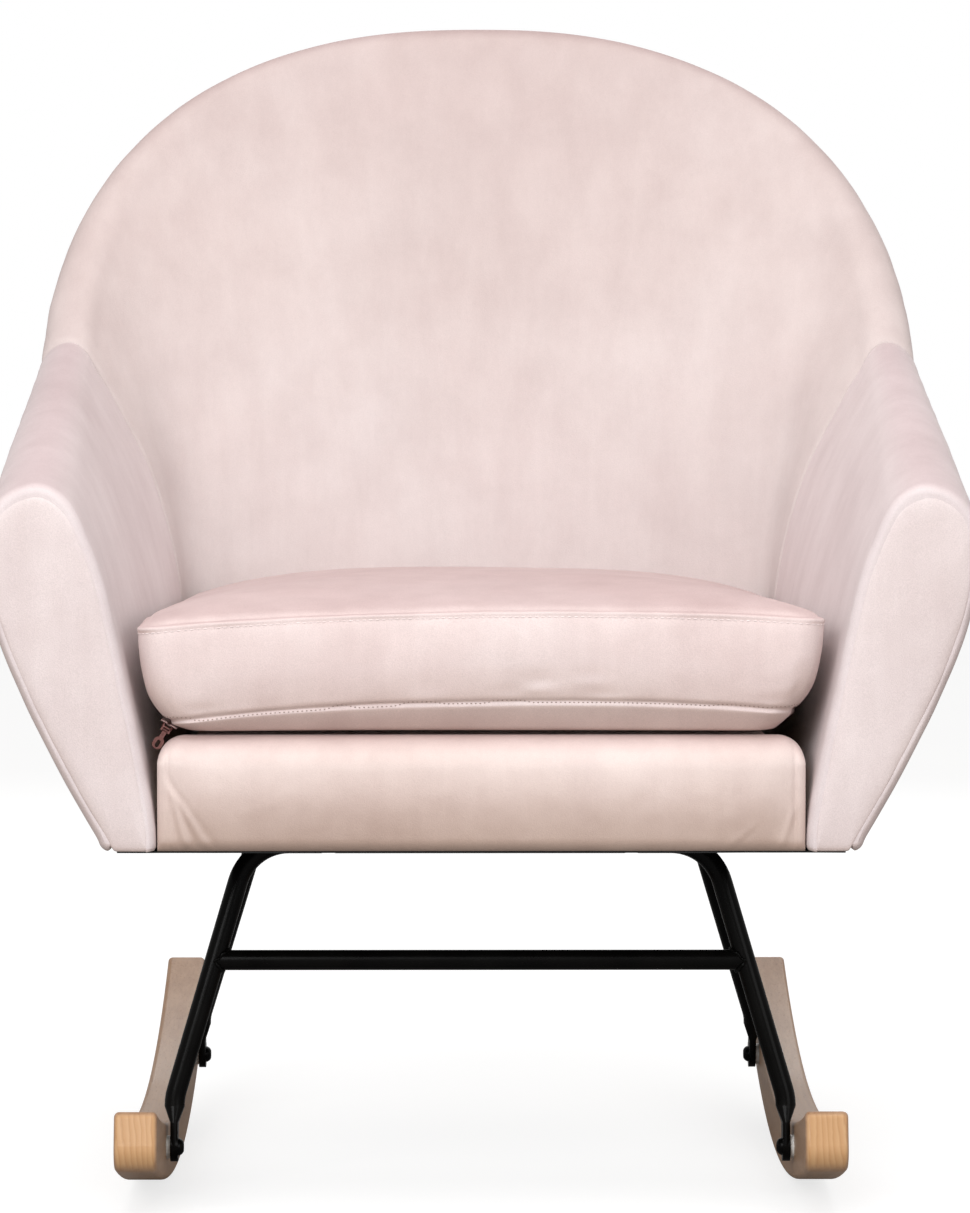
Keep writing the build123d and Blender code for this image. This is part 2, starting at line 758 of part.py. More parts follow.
tab_long = 14.5
tab_wide = 8.0
tab_thick = 1.4
eye_d = 3.0
with BuildPart() as zip_pull:
    eye_plane = Plane(
        origin=zip_plane.from_local_coords(Vector(slider_from, -lug_apart / 2 + 0.5, pin_high)),
        x_dir=zip_plane.x_dir,
        z_dir=zip_plane.y_dir,
    )
    with BuildSketch(eye_plane):
        Circle(eye_d / 2)
        Circle(pin_d / 2 + 0.3, mode=Mode.SUBTRACT)
    extrude(amount=lug_apart - 1.0)
    tab_plane = Plane(
        origin=zip_plane.from_local_coords(Vector(slider_from - tab_thick / 2, 0, pin_high)),
        x_dir=zip_plane.y_dir,
        z_dir=zip_plane.x_dir,
    )
    tab_y = 1 if tab_plane.y_dir.dot(bevel_out) > 0 else -1
    with BuildSketch(tab_plane):
        with Locations((0, tab_y * (eye_d / 2 + 2.6))):
            Rectangle(lug_apart - 1.0, 6)
        with Locations((0, tab_y * (tab_long / 2 + 4.0))):
            RectangleRounded(tab_wide, tab_long - 5, 3.4)
        with Locations((0, tab_y * (tab_long - 2.7))):
            SlotOverall(6.0, 3.0, rotation=90, mode=Mode.SUBTRACT)
        with Locations((0, 0)):
            Circle(pin_d / 2 + 0.3, mode=Mode.SUBTRACT)
    extrude(amount=tab_thick)
save(zip_pull, "zip_pull")

hinge = zip_plane.from_local_coords(Vector(slider_from, 0, pin_high))
print("zip travel axis", edge_run)
print("pull hinge at", hinge, "axis", zip_plane.y_dir, "tape normal", bevel_out)
print("front bolt", front_bolt, "rear bolt", rear_bolt, "stretcher y", stretcher_y)
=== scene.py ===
from math import atan2, cos, exp, hypot, pi, sin, sqrt, tau

import bmesh
import bpy
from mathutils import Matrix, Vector, noise
from mathutils.bvhtree import BVHTree


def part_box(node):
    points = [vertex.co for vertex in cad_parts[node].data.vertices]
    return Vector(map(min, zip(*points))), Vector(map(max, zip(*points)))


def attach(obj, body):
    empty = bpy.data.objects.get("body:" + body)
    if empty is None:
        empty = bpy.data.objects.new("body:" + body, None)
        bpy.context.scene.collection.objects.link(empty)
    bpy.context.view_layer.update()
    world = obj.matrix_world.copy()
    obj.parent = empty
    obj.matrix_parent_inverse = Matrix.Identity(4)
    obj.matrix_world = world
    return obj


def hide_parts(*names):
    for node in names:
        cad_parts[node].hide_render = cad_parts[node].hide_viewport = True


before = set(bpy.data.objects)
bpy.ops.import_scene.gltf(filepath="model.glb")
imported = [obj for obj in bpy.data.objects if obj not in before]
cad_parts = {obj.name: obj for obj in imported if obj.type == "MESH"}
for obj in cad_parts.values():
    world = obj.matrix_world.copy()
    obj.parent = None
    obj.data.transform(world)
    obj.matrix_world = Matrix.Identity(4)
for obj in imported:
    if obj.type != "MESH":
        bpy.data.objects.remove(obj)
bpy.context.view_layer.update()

# Metres throughout. +Z is up, the chair's front faces -Y and left is -X.

# ---- places read from the frame ----
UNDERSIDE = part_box("back_pad")[0].z
BACK_RIM_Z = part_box("back_pad")[1].z
ARM_FRONT_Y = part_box("right_arm_front_panel")[0].y
SEAM_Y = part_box("right_arm_pad")[1].y
BRIM_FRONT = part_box("right_arm_front_panel")[1].x
BRIM_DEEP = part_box("back_pad")[1].y - SEAM_Y
OUTER_DEEP = 0.137
CUSHION_LOW, CUSHION_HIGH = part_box("cushion_cover")

# ---- tub wall, as the frame's pads are shaped ----
INNER_HALF = 0.246
INNER_DEEP = 0.067
OUTER_HALF_FRONT = 0.284
OUTER_HALF_SEAM = 0.280
BRIM_SEAM = 0.364
ARM_RIM_Z = 0.558
ARM_RISE = 0.25
ARM_RIM_THICK = 0.078
SEAM_RIM_THICK = 0.046
BACK_RIM_THICK = 0.054
OUTER_POWER = 2.6  # squareness of the back's outer plan
INNER_POWER = 6  # the same for its inner plan
ARCH_POWER = 0.833  # the same for its rim, seen from the front
SHELL = 0.009  # thickness of the visible skins
EDGE_ROLL = 0.009  # radius that fabric rolls to at the arms' front edges
SIDE_ROLL = 0.0028  # the same where the inner and outer covers meet
SEAM_ROLL = 0.0035  # the same where the arms meet the back
SEAM_ARC = 0.30  # metres along the back for each unit of turn, near the seam
PROUD = 0.0080  # how far the covers stand out from the frame round the rim
PANEL_SET_BACK = 0.0005  # from the arm fronts' face to the covers' front edge
PANEL_INSET = 0.0060  # from the arm's outline in to the front panel's seam
PANEL_LIFT = 0.0006  # from the chair's underside up to the front panel's lower edge
PANEL_CORNER = 0.0025  # spacing of the points that hold the panel's lower corners tight


def mix(a, b, t):
    return a + (b - a) * t


def smooth(a, b, x):
    """0 below a, 1 above b, and a soft step between."""
    t = min(1.0, max(0.0, (x - a) / (b - a)))
    return t * t * (3 - 2 * t)


def ring(angle, across, deep, power):
    """Radius of a superellipse, across wide and deep long, in one direction."""
    return ((abs(cos(angle)) / across) ** power + (abs(sin(angle)) / deep) ** power) ** (-1 / power)


# ---- camera, light and floor ----

CAMERA_PLACE = Vector((-0.023, -4.222, 0.621))
CAMERA_YAW = 0.0067  # radians to the right of straight ahead
CAMERA_PITCH = 0.039  # radians down from level
LENS = 150.8  # millimetres, on a sensor 36 mm wide
AMBIENT = 0.52  # strength of the white surroundings as light
FLOOR_GLOW = 0.74  # added to the floor for the camera only


def make_camera():
    data = bpy.data.cameras.new("camera")
    data.lens = LENS
    data.sensor_width = 36
    camera = bpy.data.objects.new("camera", data)
    camera.location = CAMERA_PLACE
    camera.rotation_euler = (pi / 2 - CAMERA_PITCH, 0, -CAMERA_YAW)
    bpy.context.scene.collection.objects.link(camera)
    bpy.context.scene.camera = camera


def area_light(name, place, target, size, power):
    """A soft rectangular light that points at a target; power is in watts."""
    data = bpy.data.lights.new(name, "AREA")
    data.shape = "RECTANGLE"
    data.size, data.size_y = size
    data.energy = power
    light = bpy.data.objects.new(name, data)
    light.location = place
    light.rotation_euler = (Vector(target) - Vector(place)).to_track_quat("-Z", "Y").to_euler()
    bpy.context.scene.collection.objects.link(light)


def make_light():
    """A white room: dimmer as light than as the backdrop that the camera sees."""
    world = bpy.data.worlds.new("studio")
    bpy.context.scene.world = world
    world.use_nodes = True
    tree = world.node_tree
    lit = tree.nodes["Background"]
    lit.inputs["Color"].default_value = (1, 0.99, 0.985, 1)
    lit.inputs["Strength"].default_value = AMBIENT
    seen = tree.nodes.new("ShaderNodeBackground")
    seen.inputs["Color"].default_value = (1, 1, 1, 1)
    path = tree.nodes.new("ShaderNodeLightPath")
    pick = tree.nodes.new("ShaderNodeMixShader")
    tree.links.new(path.outputs["Is Camera Ray"], pick.inputs["Fac"])
    tree.links.new(lit.outputs[0], pick.inputs[1])
    tree.links.new(seen.outputs[0], pick.inputs[2])
    tree.links.new(pick.outputs[0], tree.nodes["World Output"].inputs["Surface"])
    area_light("key", (-1.6, -4.4, 2.3), (0, 0, 0.55), (2.6, 2.2), 122)
    area_light("fill", (2.4, -3.6, 1.5), (0, 0, 0.5), (2.2, 2.2), 34)
    area_light("top", (0, -1.5, 3.0), (0, 0, 0.5), (2.4, 1.8), 44)
    area_light("behind", (0.4, 3.2, 2.2), (0, 0, 0.5), (2.4, 2.0), 30)
    bpy.context.scene.view_settings.view_transform = "Standard"


# ---- material tools ----


class Nodes:
    """Shorthand for building one material's node tree."""

    def __init__(self, name):
        self.material = bpy.data.materials.new(name)
        self.material.use_nodes = True
        self.tree = self.material.node_tree
        self.shader = self.tree.nodes["Principled BSDF"]
        self.place = self.add("TexCoord").outputs["Object"]

    def add(self, kind, sockets=(), **settings):
        """A new node with its settings, and numbers for its unlinked sockets."""
        node = self.tree.nodes.new("ShaderNode" + kind)
        for key, value in settings.items():
            setattr(node, key, value)
        for socket, value in sockets:
            node.inputs[socket].default_value = value
        return node

    def link(self, out, into):
        self.tree.links.new(out, into)

    def scaled(self, scale, turn=(0, 0, 0)):
        node = self.add("Mapping", (("Scale", scale), ("Rotation", turn)))
        self.link(self.place, node.inputs["Vector"])
        return node.outputs["Vector"]

    def noise(self, scale, detail=2.0, rough=0.5, place=None):
        node = self.add("TexNoise", (("Scale", scale), ("Detail", detail), ("Roughness", rough)))
        self.link(place or self.place, node.inputs["Vector"])
        return node.outputs["Fac"]

    def ramp(self, value, stops):
        node = self.add("ValToRGB")
        ramp = node.color_ramp
        while len(ramp.elements) < len(stops):
            ramp.elements.new(0.5)
        for element, (at, color) in zip(ramp.elements, stops):
            element.position = at
            element.color = (*color, 1)
        self.link(value, node.inputs["Fac"])
        return node.outputs["Color"]

    def darken(self, amount, a, b):
        """Color a multiplied by color b."""
        node = self.add("Mix", (("Factor", amount),), data_type="RGBA", blend_type="MULTIPLY")
        self.link(a, node.inputs["A"])
        self.link(b, node.inputs["B"])
        return node.outputs["Result"]

    def spread(self, value, low, high, start=0.0, end=1.0):
        """A value from start to end mapped to low to high."""
        ends = (("From Min", start), ("From Max", end), ("To Min", low), ("To Max", high))
        node = self.add("MapRange", ends)
        self.link(value, node.inputs["Value"])
        return node.outputs["Result"]

    def part(self, vector, axis):
        """One coordinate of a vector."""
        node = self.add("SeparateXYZ")
        self.link(vector, node.inputs["Vector"])
        return node.outputs[axis]

    def facing(self, axis):
        """How far the surface faces along one axis, from -1 to 1."""
        return self.part(self.add("TexCoord").outputs["Normal"], axis)

    def bump(self, height, strength, distance, under=None):
        node = self.add("Bump", (("Strength", strength), ("Distance", distance)))
        self.link(height, node.inputs["Height"])
        if under:
            self.link(under, node.inputs["Normal"])
        return node.outputs["Normal"]

    def finish(self, color=None, rough=None, normal=None, **constants):
        for socket, out in (("Base Color", color), ("Roughness", rough), ("Normal", normal)):
            if out:
                self.link(out, self.shader.inputs[socket])
        for name, value in constants.items():
            self.shader.inputs[name.replace("_", " ")].default_value = value
        return self.material


WHITE = (1.0, 1.0, 1.0)

# Painted shade by the way velvet faces, from down (0) through upright (0.5) to up (1): darkest
# facing down, a little darker facing up.
PAINTED_SHADE_BY_FACING = (
    (0.0, (0.80, 0.74, 0.69)), (0.34, (0.86, 0.80, 0.76)), (0.48, (0.97, 0.955, 0.95)),
    (0.62, WHITE), (0.80, (0.99, 0.97, 0.965)), (1.0, (0.83, 0.75, 0.755)),
)


def velvet(name, deep, mid, pale, grain=0.10, painted_shade_by_height=None):
    """Short-pile velvet: cloudy nap, faint upright streaks, fine sparkle, a pale sheen, and painted
    shade by facing and, where given, by height.
    """
    n = Nodes(name)
    clouds = n.noise(3.4, 5, 0.6)
    streaks = n.noise(1.0, 4, 0.65, n.scaled((34, 34, 3.4)))
    brushed = n.noise(16, 5, 0.62)
    tone = n.ramp(clouds, ((0.30, deep), (0.50, mid), (0.68, pale)))
    streak_tone = n.ramp(streaks, ((0.32, (0.93, 0.915, 0.915)), (0.66, WHITE)))
    brush_tone = n.ramp(brushed, ((0.36, (0.94, 0.93, 0.93)), (0.62, WHITE)))
    pile = n.noise(1100, 2, 0.7)
    pile_tone = n.ramp(pile, ((0.32, (1 - grain, 1 - grain, 1 - grain)), (0.66, WHITE)))
    color = n.darken(0.8, tone, streak_tone)
    color = n.darken(0.9, color, brush_tone)
    color = n.darken(1.0, color, pile_tone)
    upward = n.spread(n.facing("Z"), 0, 1, -1, 1)
    # Painted shade: velvet darkened by the way it faces.
    color = n.darken(1.0, color, n.ramp(upward, PAINTED_SHADE_BY_FACING))
    # Painted shade by height, where given.
    if painted_shade_by_height:
        color = n.darken(1.0, color, n.ramp(n.part(n.place, "Z"), painted_shade_by_height))
    nap = n.bump(n.noise(70, 3, 0.6), 0.15, 0.0015)
    normal = n.bump(pile, 0.35, 0.0006, nap)
    return n.finish(
        color, n.spread(brushed, 0.70, 0.90), normal,
        Sheen_Weight=0.12, Sheen_Roughness=0.38, Sheen_Tint=(1.0, 0.90, 0.88, 1),
        Specular_IOR_Level=0.14,
    )


def beech(name):
    """Lacquered beech: grain along Y with short flecks, and warmer wavy rings on the end grain."""
    n = Nodes(name)
    fibre = n.noise(1.0, 5, 0.6, n.scaled((420, 12, 420)))
    fleck = n.noise(1.0, 2, 0.5, n.scaled((800, 80, 800)))
    base = n.ramp(
        n.noise(1.0, 4, 0.55, n.scaled((60, 2.4, 60))),
        (
            (0.32, (0.370, 0.215, 0.125)), (0.55, (0.430, 0.262, 0.158)),
            (0.72, (0.475, 0.300, 0.190)),
        ),
    )
    fibres = n.ramp(fibre, ((0.3, (0.84, 0.80, 0.77)), (0.62, WHITE)))
    flecks = n.ramp(fleck, ((0.30, (0.74, 0.64, 0.57)), (0.40, WHITE)))
    along = n.darken(0.8, base, fibres)
    along = n.darken(0.7, along, flecks)
    rings = n.add(
        "TexWave", (("Scale", 64), ("Distortion", 9.0), ("Detail", 4), ("Detail Scale", 0.8)),
        bands_direction="X", wave_profile="SAW",
    )
    n.link(n.scaled((1.0, 0.3, 0.35), (0, 0.18, 0)), rings.inputs["Vector"])
    end = n.ramp(
        rings.outputs["Fac"],
        ((0.0, (0.49, 0.270, 0.125)), (0.7, (0.545, 0.325, 0.165)), (1.0, (0.445, 0.240, 0.110))),
    )
    lengthwise = n.facing("Y")
    square = n.add("Math", operation="MULTIPLY")
    n.link(lengthwise, square.inputs[0])
    n.link(lengthwise, square.inputs[1])
    both = n.add("Mix", data_type="RGBA")
    n.link(n.spread(square.outputs["Value"], 0, 1, 0.25, 0.75), both.inputs["Factor"])
    n.link(along, both.inputs["A"])
    n.link(end, both.inputs["B"])
    return n.finish(
        both.outputs["Result"], n.spread(fibre, 0.34, 0.50), n.bump(fibre, 0.15, 0.0004),
        Coat_Weight=0.12, Coat_Roughness=0.14, Specular_IOR_Level=0.20,
    )


def pine(name):
    """Plain sawn frame timber."""
    n = Nodes(name)
    grain = n.noise(1.0, 5, 0.6, n.scaled((160, 160, 12)))
    color = n.ramp(grain, ((0.3, (0.50, 0.36, 0.20)), (0.7, (0.68, 0.53, 0.33))))
    return n.finish(color, n.spread(grain, 0.6, 0.85), n.bump(grain, 0.2, 0.0006))


def black_paint(name):
    """Gloss black paint with a trace of orange peel."""
    n = Nodes(name)
    peel = n.noise(380, 2, 0.5)
    dark, pale = (0.0018, 0.0016, 0.0015), (0.0036, 0.0033, 0.0030)
    tone = n.ramp(n.noise(30, 3, 0.6), ((0.3, dark), (0.7, pale)))
    return n.finish(
        tone, n.spread(n.noise(60, 3, 0.6), 0.20, 0.32), n.bump(peel, 0.12, 0.0003),
        Coat_Weight=0.03, Coat_Roughness=0.10, Specular_IOR_Level=0.06,
    )


def metal(name, dark, pale, rough):
    """Bare or plated metal with faint brushing."""
    n = Nodes(name)
    brush = n.noise(1.0, 3, 0.6, n.scaled((900, 200, 900)))
    tone = n.ramp(brush, ((0.3, dark), (0.7, pale)))
    normal = n.bump(brush, 0.1, 0.0002)
    return n.finish(tone, n.spread(brush, rough, rough + 0.15), normal, Metallic=0.9)


def woven(name, dark, pale, pitch):
    """Flat woven cloth or strap with a fine thread pattern."""
    n = Nodes(name)
    waves = []
    for axis in "XY":
        wave = n.add("TexWave", (("Scale", 1 / pitch),), bands_direction=axis)
        n.link(n.place, wave.inputs["Vector"])
        waves.append(wave.outputs["Color"])
    normal = n.bump(n.darken(1.0, *waves), 0.3, 0.0004)
    tone = n.ramp(n.noise(120, 3, 0.6), ((0.3, dark), (0.7, pale)))
    return n.finish(tone, n.spread(n.noise(80), 0.8, 0.95), normal, Sheen_Weight=0.1)


def plastic(name, dark, pale):
    """Smooth, faintly mottled plastic or foam."""
    n = Nodes(name)
    tone = n.ramp(n.noise(80, 3, 0.6), ((0.3, dark), (0.7, pale)))
    return n.finish(tone, n.spread(n.noise(200), 0.35, 0.5), n.bump(n.noise(600), 0.05, 0.0002))


# One pink velvet in five copies whose base tones differ as painted light and shade: palest on the
# arm fronts that face the lights, darkest on the back, whose copy is also darkened towards its top
# as painted shade.
BACK_VELVET = velvet(
    "back_velvet", (0.665, 0.585, 0.572), (0.695, 0.625, 0.612), (0.725, 0.665, 0.655), 0.07,
    ((0.50, WHITE), (0.74, (0.915, 0.87, 0.855)), (0.94, (0.86, 0.79, 0.775))),
)
ARM_VELVET = velvet(
    "arm_velvet", (0.705, 0.615, 0.615), (0.760, 0.675, 0.675), (0.800, 0.725, 0.725), 0.10
)
FRONT_VELVET = velvet(
    "front_velvet", (0.740, 0.640, 0.625), (0.785, 0.690, 0.680), (0.830, 0.740, 0.730), 0.13
)
CUSHION_VELVET = velvet(
    "cushion_velvet", (0.720, 0.580, 0.560), (0.775, 0.650, 0.630), (0.820, 0.710, 0.690), 0.12
)
# Painted shade: the border's velvet darkened towards its lower edge, below its top roll.
BORDER_VELVET = velvet(
    "border_velvet", (0.700, 0.580, 0.545), (0.755, 0.640, 0.605), (0.800, 0.690, 0.660), 0.07,
    ((0.288, (0.78, 0.72, 0.66)), (0.325, (0.92, 0.88, 0.85)), (0.362, WHITE)),
)
THREAD = woven("thread", (0.80, 0.68, 0.66), (0.90, 0.80, 0.78), 0.0006)
SEAM_THREAD = woven("seam_thread", (0.26, 0.18, 0.15), (0.36, 0.26, 0.22), 0.0006)
ZIP_TAPE = woven("zip_tape_cloth", (0.42, 0.27, 0.255), (0.50, 0.33, 0.31), 0.0008)
BEECH = beech("lacquered_beech")
PINE = pine("frame_pine")
BLACK = black_paint("black_paint")
ZINC = metal("zinc_plate", (0.42, 0.42, 0.43), (0.60, 0.60, 0.61), 0.30)
ROSE_METAL = metal("rose_zip_metal", (0.15, 0.066, 0.060), (0.22, 0.105, 0.095), 0.36)
NYLON = plastic("nylon", (0.62, 0.61, 0.58), (0.74, 0.73, 0.70))
WEBBING = woven("webbing_cloth", (0.05, 0.05, 0.05), (0.11, 0.11, 0.11), 0.002)
LINING = woven("lining_cloth", (0.016, 0.016, 0.017), (0.028, 0.028, 0.03), 0.0012)
FOAM = plastic("foam_block", (0.70, 0.62, 0.40), (0.80, 0.72, 0.50))


# ---- mesh tools ----


def make_piece(name, points, faces, material, body="chair", levels=1):
    """A smooth mesh piece that rides on a body."""
    mesh = bpy.data.meshes.new(name)
    mesh.from_pydata([tuple(p) for p in points], [], faces)
    mesh.update()
    piece = bpy.data.objects.new(name, mesh)
    bpy.context.scene.collection.objects.link(piece)
    tidy = bmesh.new()
    tidy.from_mesh(mesh)
    bmesh.ops.recalc_face_normals(tidy, faces=tidy.faces)
    tidy.to_mesh(mesh)
    tidy.free()
    mesh.shade_smooth()
    mesh.materials.append(material)
    if levels:
        subsurf = piece.modifiers.new("smooth", "SUBSURF")
        subsurf.levels = levels
        subsurf.render_levels = levels
    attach(piece, body)
    return piece


def loft_mesh(loops):
    """Points and faces of a closed skin through equal loops, with a quad fan at each end."""
    count = len(loops[0])
    points = [p for loop in loops for p in loop]
    faces = []
    for row in range(len(loops) - 1):
        for i in range(count):
            j = (i + 1) % count
            a, b = row * count, (row + 1) * count
            faces.append((a + i, a + j, b + j, b + i))
    for row in (0, len(loops) - 1):
        middle = sum((Vector(p) for p in loops[row]), Vector()) / count
        points.append(middle)
        centre = len(points) - 1
        for i in range(count):
            faces.append((row * count + i, row * count + (i + 1) % count, centre))
    return points, faces


# ---- tub wall ----


class Wall:
    """One upright section through the tub wall, in a plane with a radius and a height."""

    def __init__(self, y, angle, foot, flare, brim, swell, rim_z, thick):
        self.y, self.angle = y, angle
        self.foot_in, self.foot_out = foot
        self.flare_z, self.flare_power = flare
        self.brim, self.rim_z, self.thick = brim, rim_z, thick
        self.shoulder = rim_z - thick / 2
        self.swell_z, self.swell_power = swell

    def inner(self, z):
        """Radius of the inner face at a height."""
        rise = max(0.0, z - self.flare_z) / (self.shoulder - self.flare_z)
        return mix(self.foot_in, self.brim - self.thick, rise**self.flare_power)

    def outer(self, z):
        """Radius of the outer face at a height."""
        left = (self.swell_z - z) / (self.swell_z - UNDERSIDE)
        tuck = 1.0 if left > 0 else 0.06
        return mix(self.brim, self.foot_out, tuck * abs(left) ** self.swell_power)

    def at(self, radius, z):
        """The place in the chair's frame of a radius and height in this section."""
        return Vector((radius * cos(self.angle), self.y + radius * sin(self.angle), z))


def arm_wall(y):
    """Section of the right arm at depth y."""
    t = (y - ARM_FRONT_Y) / (SEAM_Y - ARM_FRONT_Y)
    return Wall(
        y=y,
        angle=0.0,
        foot=(INNER_HALF, mix(OUTER_HALF_FRONT, OUTER_HALF_SEAM, t)),
        flare=(mix(0.300, 0.372, t), mix(1.1, 2.5, t)),
        brim=mix(BRIM_FRONT, BRIM_SEAM, t),
        swell=(0.500, mix(1.6, 2.0, t)),
        rim_z=ARM_RIM_Z + ARM_RISE * (y - ARM_FRONT_Y),
        thick=mix(ARM_RIM_THICK, SEAM_RIM_THICK, t),
    )


def inner_plan(angle):
    """Radius of the back's inner plan at its foot, in one direction."""
    return ring(angle, INNER_HALF, INNER_DEEP, INNER_POWER)


def back_wall(turn):
    """Section of the back; turn runs from 0 at the right seam through pi/2 in the middle to pi."""
    x = BRIM_SEAM * abs(cos(turn)) ** ARCH_POWER
    y = BRIM_DEEP * (1 - (x / BRIM_SEAM) ** OUTER_POWER) ** (1 / OUTER_POWER)
    angle = atan2(y, x if turn <= pi / 2 else -x)
    middle = sin(angle) ** 2
    seam_rim_z = ARM_RIM_Z + ARM_RISE * (SEAM_Y - ARM_FRONT_Y)
    rim_z = mix(seam_rim_z, BACK_RIM_Z, sin(turn) ** ARCH_POWER)
    thick = mix(SEAM_RIM_THICK, BACK_RIM_THICK, middle)
    return Wall(
        y=SEAM_Y,
        angle=angle,
        foot=(inner_plan(angle), ring(angle, OUTER_HALF_SEAM, OUTER_DEEP, OUTER_POWER)),
        flare=(0.372, mix(2.5, 1.1, middle)),
        brim=hypot(x, y),
        swell=(mix(0.500, rim_z - thick / 2, middle), mix(2.0, 1.3, middle)),
        rim_z=rim_z,
        thick=thick,
    )


def pad_line(wall, inner_steps=36, rim_steps=20):
    """Visible line of the inner pad: up the inner face, over the rim and down to the outer seam."""
    line = []
    for i in range(inner_steps):
        z = mix(UNDERSIDE, wall.shoulder, i / inner_steps)
        line.append((wall.inner(z), z))
    half = (wall.outer(wall.shoulder) - (wall.brim - wall.thick)) / 2
    middle = wall.brim - wall.thick + half
    for i in range(rim_steps + 1):
        a = pi - pi * i / rim_steps
        line.append((middle + half * cos(a), wall.shoulder + wall.thick / 2 * sin(a)))
    return soften(line, inner_steps, 0.055)


def soften(line, centre, reach, passes=60):
    """A line with its bend near one place eased, and the rest left alone."""
    run = lengths(line)
    eased_line = line
    for _ in range(passes):
        inner = [
            ((a[0] + 2 * b[0] + c[0]) / 4, (a[1] + 2 * b[1] + c[1]) / 4)
            for a, b, c in zip(eased_line, eased_line[1:], eased_line[2:])
        ]
        eased_line = [line[0], *inner, line[-1]]
    shares = [exp(-(((s - run[centre]) / reach) ** 2)) for s in run]
    return [(mix(a[0], b[0], t), mix(a[1], b[1], t)) for a, b, t in zip(line, eased_line, shares)]


def cover_line(wall, steps=22):
    """Visible line of the outer cover, from the outer seam down and round under the edge."""
    line = []
    for i in range(steps + 1):
        z = mix(wall.shoulder, UNDERSIDE + EDGE_ROLL, i / steps)
        line.append((wall.outer(z), z))
    foot = wall.outer(UNDERSIDE + EDGE_ROLL)
    for i in range(1, 5):
        a = pi / 2 * i / 4
        line.append((foot - EDGE_ROLL * (1 - cos(a)), UNDERSIDE + EDGE_ROLL * (1 - sin(a))))
    return line


def normals(line):
    """Unit normals of a line, on its left."""
    found = []
    for i in range(len(line)):
        a, b = line[max(0, i - 1)], line[min(len(line) - 1, i + 1)]
        dx, dz = b[0] - a[0], b[1] - a[1]
        size = hypot(dx, dz) or 1.0
        found.append((-dz / size, dx / size))
    return found


def lengths(line):
    """Distance along a line of each of its points."""
    run = [0.0]
    for a, b in zip(line, line[1:]):
        run.append(run[-1] + hypot(b[0] - a[0], b[1] - a[1]))
    return run


def roll(distance, radius):
    """How far fabric drops away at this distance from a seam that it rolls into."""
    if distance >= radius:
        return 0.0
    return radius - sqrt(max(0.0, radius**2 - (radius - distance) ** 2))


def pucker(place, strength):
    """Small gathers, strongest at a seam."""
    return strength * noise.noise(place * 42.0) + 0.5 * strength * noise.noise(place * 95.0)


def soft_wave(place):
    """Slow unevenness of stuffed fabric."""
    return 0.0016 * noise.noise(place * 7.0 + Vector((3.1, 0.4, 7.7)))


def stand_out(wall, r, z):
    """How far the covers stand out from the frame at a place near the rim."""
    up = smooth(wall.shoulder - 0.18, wall.shoulder, z)
    return PROUD * up * smooth(wall.brim - wall.thick, wall.brim - 0.4 * wall.thick, r)


def wall_skin(walls, rolls, line_of, rolls_at_start):
    """Loops of a closed skin that follows line_of over walls.

    rolls lists, for each seam across the walls, every wall's distance to it and the radius that the
    fabric rolls to. The line's own seam is at its start, or else at its end."""
    loops = []
    for index, wall in enumerate(walls):
        line = line_of(wall)
        run = lengths(line)
        front, back = [], []
        for (r, z), (nr, nz), s in zip(line, normals(line), run):
            edge = s if rolls_at_start else run[-1] - s
            drop = roll(edge, SIDE_ROLL)
            nearest = edge
            for gaps, radius in rolls:
                drop = max(drop, roll(gaps[index], radius))
                nearest = min(nearest, gaps[index])
            near = exp(-nearest / 0.022)
            place = wall.at(r, z)
            lift = pucker(place, 0.0008) * near + soft_wave(place) * (1 - near) - drop
            lift += stand_out(wall, r, z)
            front.append(wall.at(r + nr * lift, z + nz * lift))
            back.append(wall.at(r - nr * SHELL, z - nz * SHELL))
        loops.append(front + back[::-1])
    return loops


def eased(first, last, count, fine):
    """Places from first to last, close together at both ends."""
    shares = [0.5 - 0.5 * cos(pi * i / count) for i in range(count + 1)]
    return [mix(first + fine, last - fine, share) for share in shares]


def mirrored(loops):
    """The same loops on the chair's other side."""
    return [[Vector((-p.x, p.y, p.z)) for p in loop] for loop in loops]


def padded_piece(name, loops, material, node, body="chair"):
    """A padded piece through closed loops that stands for a node of the frame."""
    piece = make_piece(name, *loft_mesh(loops), material, body)
    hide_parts(node)
    return piece


def make_tub():
    """Inner pads, outer covers, and the seams between them."""
    places = eased(ARM_FRONT_Y + PANEL_SET_BACK, SEAM_Y, 54, 0.0008)
    walls = [arm_wall(y) for y in places]
    from_front = [y - ARM_FRONT_Y - PANEL_SET_BACK for y in places]
    from_seam = [SEAM_Y - y for y in places]
    rolls = [(from_front, EDGE_ROLL), (from_seam, SEAM_ROLL)]
    pad = wall_skin(walls, rolls, pad_line, False)
    cover = wall_skin(walls, rolls, cover_line, True)
    sides = (("right", pad, cover), ("left", mirrored(pad), mirrored(cover)))
    for side, inner, outer in sides:
        padded_piece(f"{side}_arm_upholstery", inner, ARM_VELVET, f"{side}_arm_pad")
        padded_piece(
            f"{side}_outer_side_cover", outer, ARM_VELVET, f"{side}_outer_side_panel"
        )
    turns = eased(0, pi, 140, 0.002)
    walls = [back_wall(turn) for turn in turns]
    rolls = [([min(turn, pi - turn) * SEAM_ARC for turn in turns], SEAM_ROLL)]
    pad = wall_skin(walls, rolls, pad_line, False)
    padded_piece("back_upholstery", pad, BACK_VELVET, "back_pad")
    cover = wall_skin(walls, rolls, cover_line, True)
    padded_piece("outer_back_cover", cover, BACK_VELVET, "outer_back_panel")


